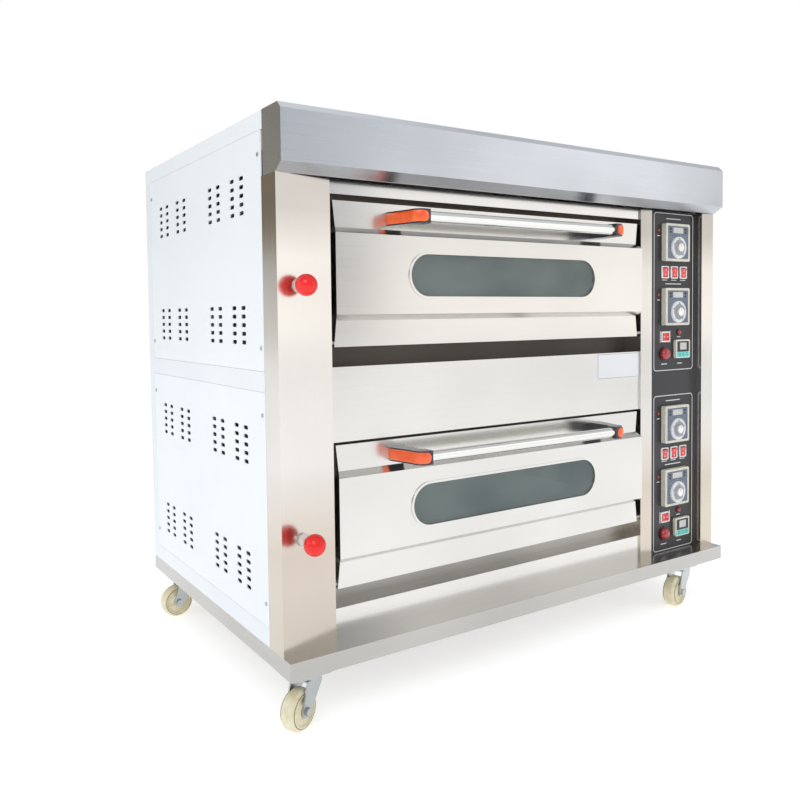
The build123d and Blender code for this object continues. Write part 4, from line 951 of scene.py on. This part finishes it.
floor_mesh = bpy.data.meshes.new("floor")
floor_turns = ((-1, -1), (1, -1), (1, 1), (-1, 1))
floor_corners = [(FLOOR_REACH * x, FLOOR_REACH * y, 0) for x, y in floor_turns]
floor_mesh.from_pydata(floor_corners, [], [(0, 1, 2, 3)])
floor = bpy.data.objects.new("floor", floor_mesh)
bpy.context.scene.collection.objects.link(floor)
floor_material = new_material("pale_floor", (0.90, 0.90, 0.89), 0.6)
floor_drift = stretched_noise(floor_material, (0.8,) * 3)
vary_color(floor_material, floor_drift, (0.89, 0.89, 0.885), (0.91, 0.91, 0.905))
principled(floor_material).inputs["Emission Color"].default_value = (1.0, 1.0, 1.0, 1.0)
principled(floor_material).inputs["Emission Strength"].default_value = FLOOR_GLOW
floor_mesh.materials.append(floor_material)
floor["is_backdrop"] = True

# ---------------------------------------------------------------- sky
# The camera sees white; reflections see a graded sky, with a mottled region behind the oven.
# Each stop is the direction's height or depth, from 0 to 1, and a colour.
SKY_STRENGTH = 0.80
CLEAR_WHITE = (1.0 / SKY_STRENGTH,) * 3
BLACK = (0.0, 0.0, 0.0)
WHITE = (1.0, 1.0, 1.0)

world = bpy.data.worlds.new("studio")
bpy.context.scene.world = world
world.use_nodes = True
background = world.node_tree.nodes["Background"]
background.inputs["Strength"].default_value = SKY_STRENGTH
direction = add_node(world, "ShaderNodeTexCoord").outputs["Generated"]
axes = add_node(world, "ShaderNodeSeparateXYZ")
link(world, direction, axes.inputs["Vector"])


def world_mix(fac, first, second):
    """A blend of two colours or colour sockets by a factor socket."""
    mix = add_node(world, "ShaderNodeMix", data_type="RGBA")
    link(world, fac, mix.inputs["Factor"])
    for key, color in (("A", first), ("B", second)):
        if isinstance(color, tuple):
            mix.inputs[key].default_value = (*color, 1.0)
        else:
            link(world, color, mix.inputs[key])
    return mix.outputs["Result"]


sky_tones = (
    (0.0, (0.84, 0.82, 0.79)),
    (0.05, (0.72, 0.71, 0.70)),
    (0.10, (0.60, 0.60, 0.61)),
    (0.15, (0.70, 0.74, 0.80)),
    (0.22, (0.74, 0.79, 0.86)),
    (0.45, (0.90, 0.93, 0.97)),
    (1.0, (0.84, 0.86, 0.89)),
)
mottle_tones = ((0.35, (0.16, 0.14, 0.09)), (0.65, (0.44, 0.37, 0.28)))
behind_oven = ((0.60, BLACK), (0.74, WHITE))
above_floor = ((0.06, BLACK), (0.09, WHITE), (0.40, WHITE), (0.60, BLACK))

sky = color_ramp(world, axes.outputs["Z"], sky_tones)
noise = add_node(world, "ShaderNodeTexNoise", {"Scale": 9.0, "Detail": 4.0})
link(world, direction, noise.inputs["Vector"])
mottle = color_ramp(world, noise.outputs["Fac"], mottle_tones)
behind = color_ramp(world, axes.outputs["Y"], behind_oven)
raised = color_ramp(world, axes.outputs["Z"], above_floor)
surroundings = world_mix(world_mix(behind, BLACK, raised), sky, mottle)
seen = add_node(world, "ShaderNodeLightPath").outputs["Is Camera Ray"]
link(world, world_mix(seen, surroundings, CLEAR_WHITE), background.inputs["Color"])

# ---------------------------------------------------------------- lamps


def area_light(name, place, target, size, power, color=WHITE):
    """A soft rectangular light at a place, turned to its target."""
    light = bpy.data.lights.new(name, "AREA")
    light.shape = "RECTANGLE"
    light.size, light.size_y = size
    light.energy = power
    light.color = color
    obj = bpy.data.objects.new(name, light)
    bpy.context.scene.collection.objects.link(obj)
    obj.location = place
    obj.rotation_euler = (Vector(target) - Vector(place)).to_track_quat("-Z", "Y").to_euler()


area_light("key", (-2.6, -2.6, 3.0), (0.0, 0.0, 0.5), (2.4, 1.8), 30.0)
area_light("fill", (2.8, -3.2, 1.6), (0.0, 0.0, 0.5), (2.6, 2.2), 12.0, (1.0, 0.97, 0.93))
area_light("side", (-3.6, 0.6, 1.4), (0.0, 0.2, 0.5), (2.4, 2.0), 12.0, (0.95, 0.98, 1.0))
area_light("top", (0.0, 0.2, 4.2), (0.0, 0.0, 0.0), (4.0, 3.0), 10.0)

# ---------------------------------------------------------------- camera
CAMERA_PLACE = (-1.2151, -1.6645, 0.7435)
YAW = math.radians(33.648)
PITCH = math.radians(-2.517)
ROLL = math.radians(-0.661)
FOCAL_LENGTH = 35.94
SENSOR_WIDTH = 36.0
SHIFT_X = -0.0035
SHIFT_Y = -0.0627

forward = Vector((
    math.sin(YAW) * math.cos(PITCH),
    math.cos(YAW) * math.cos(PITCH),
    math.sin(PITCH),
))
level = Vector((math.cos(YAW), -math.sin(YAW), 0))
above = level.cross(forward)
right = level * math.cos(ROLL) + above * math.sin(ROLL)
up = above * math.cos(ROLL) - level * math.sin(ROLL)
turn = Matrix((
    (right.x, up.x, -forward.x),
    (right.y, up.y, -forward.y),
    (right.z, up.z, -forward.z),
))
lens = bpy.data.cameras.new("camera")
lens.lens = FOCAL_LENGTH
lens.sensor_width = SENSOR_WIDTH
lens.shift_x = SHIFT_X
lens.shift_y = SHIFT_Y
camera = bpy.data.objects.new("camera", lens)
bpy.context.scene.collection.objects.link(camera)
camera.matrix_world = Matrix.Translation(CAMERA_PLACE) @ turn.to_4x4()
bpy.context.scene.camera = camera
bpy.context.scene.view_settings.view_transform = "Standard"

low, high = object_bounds()
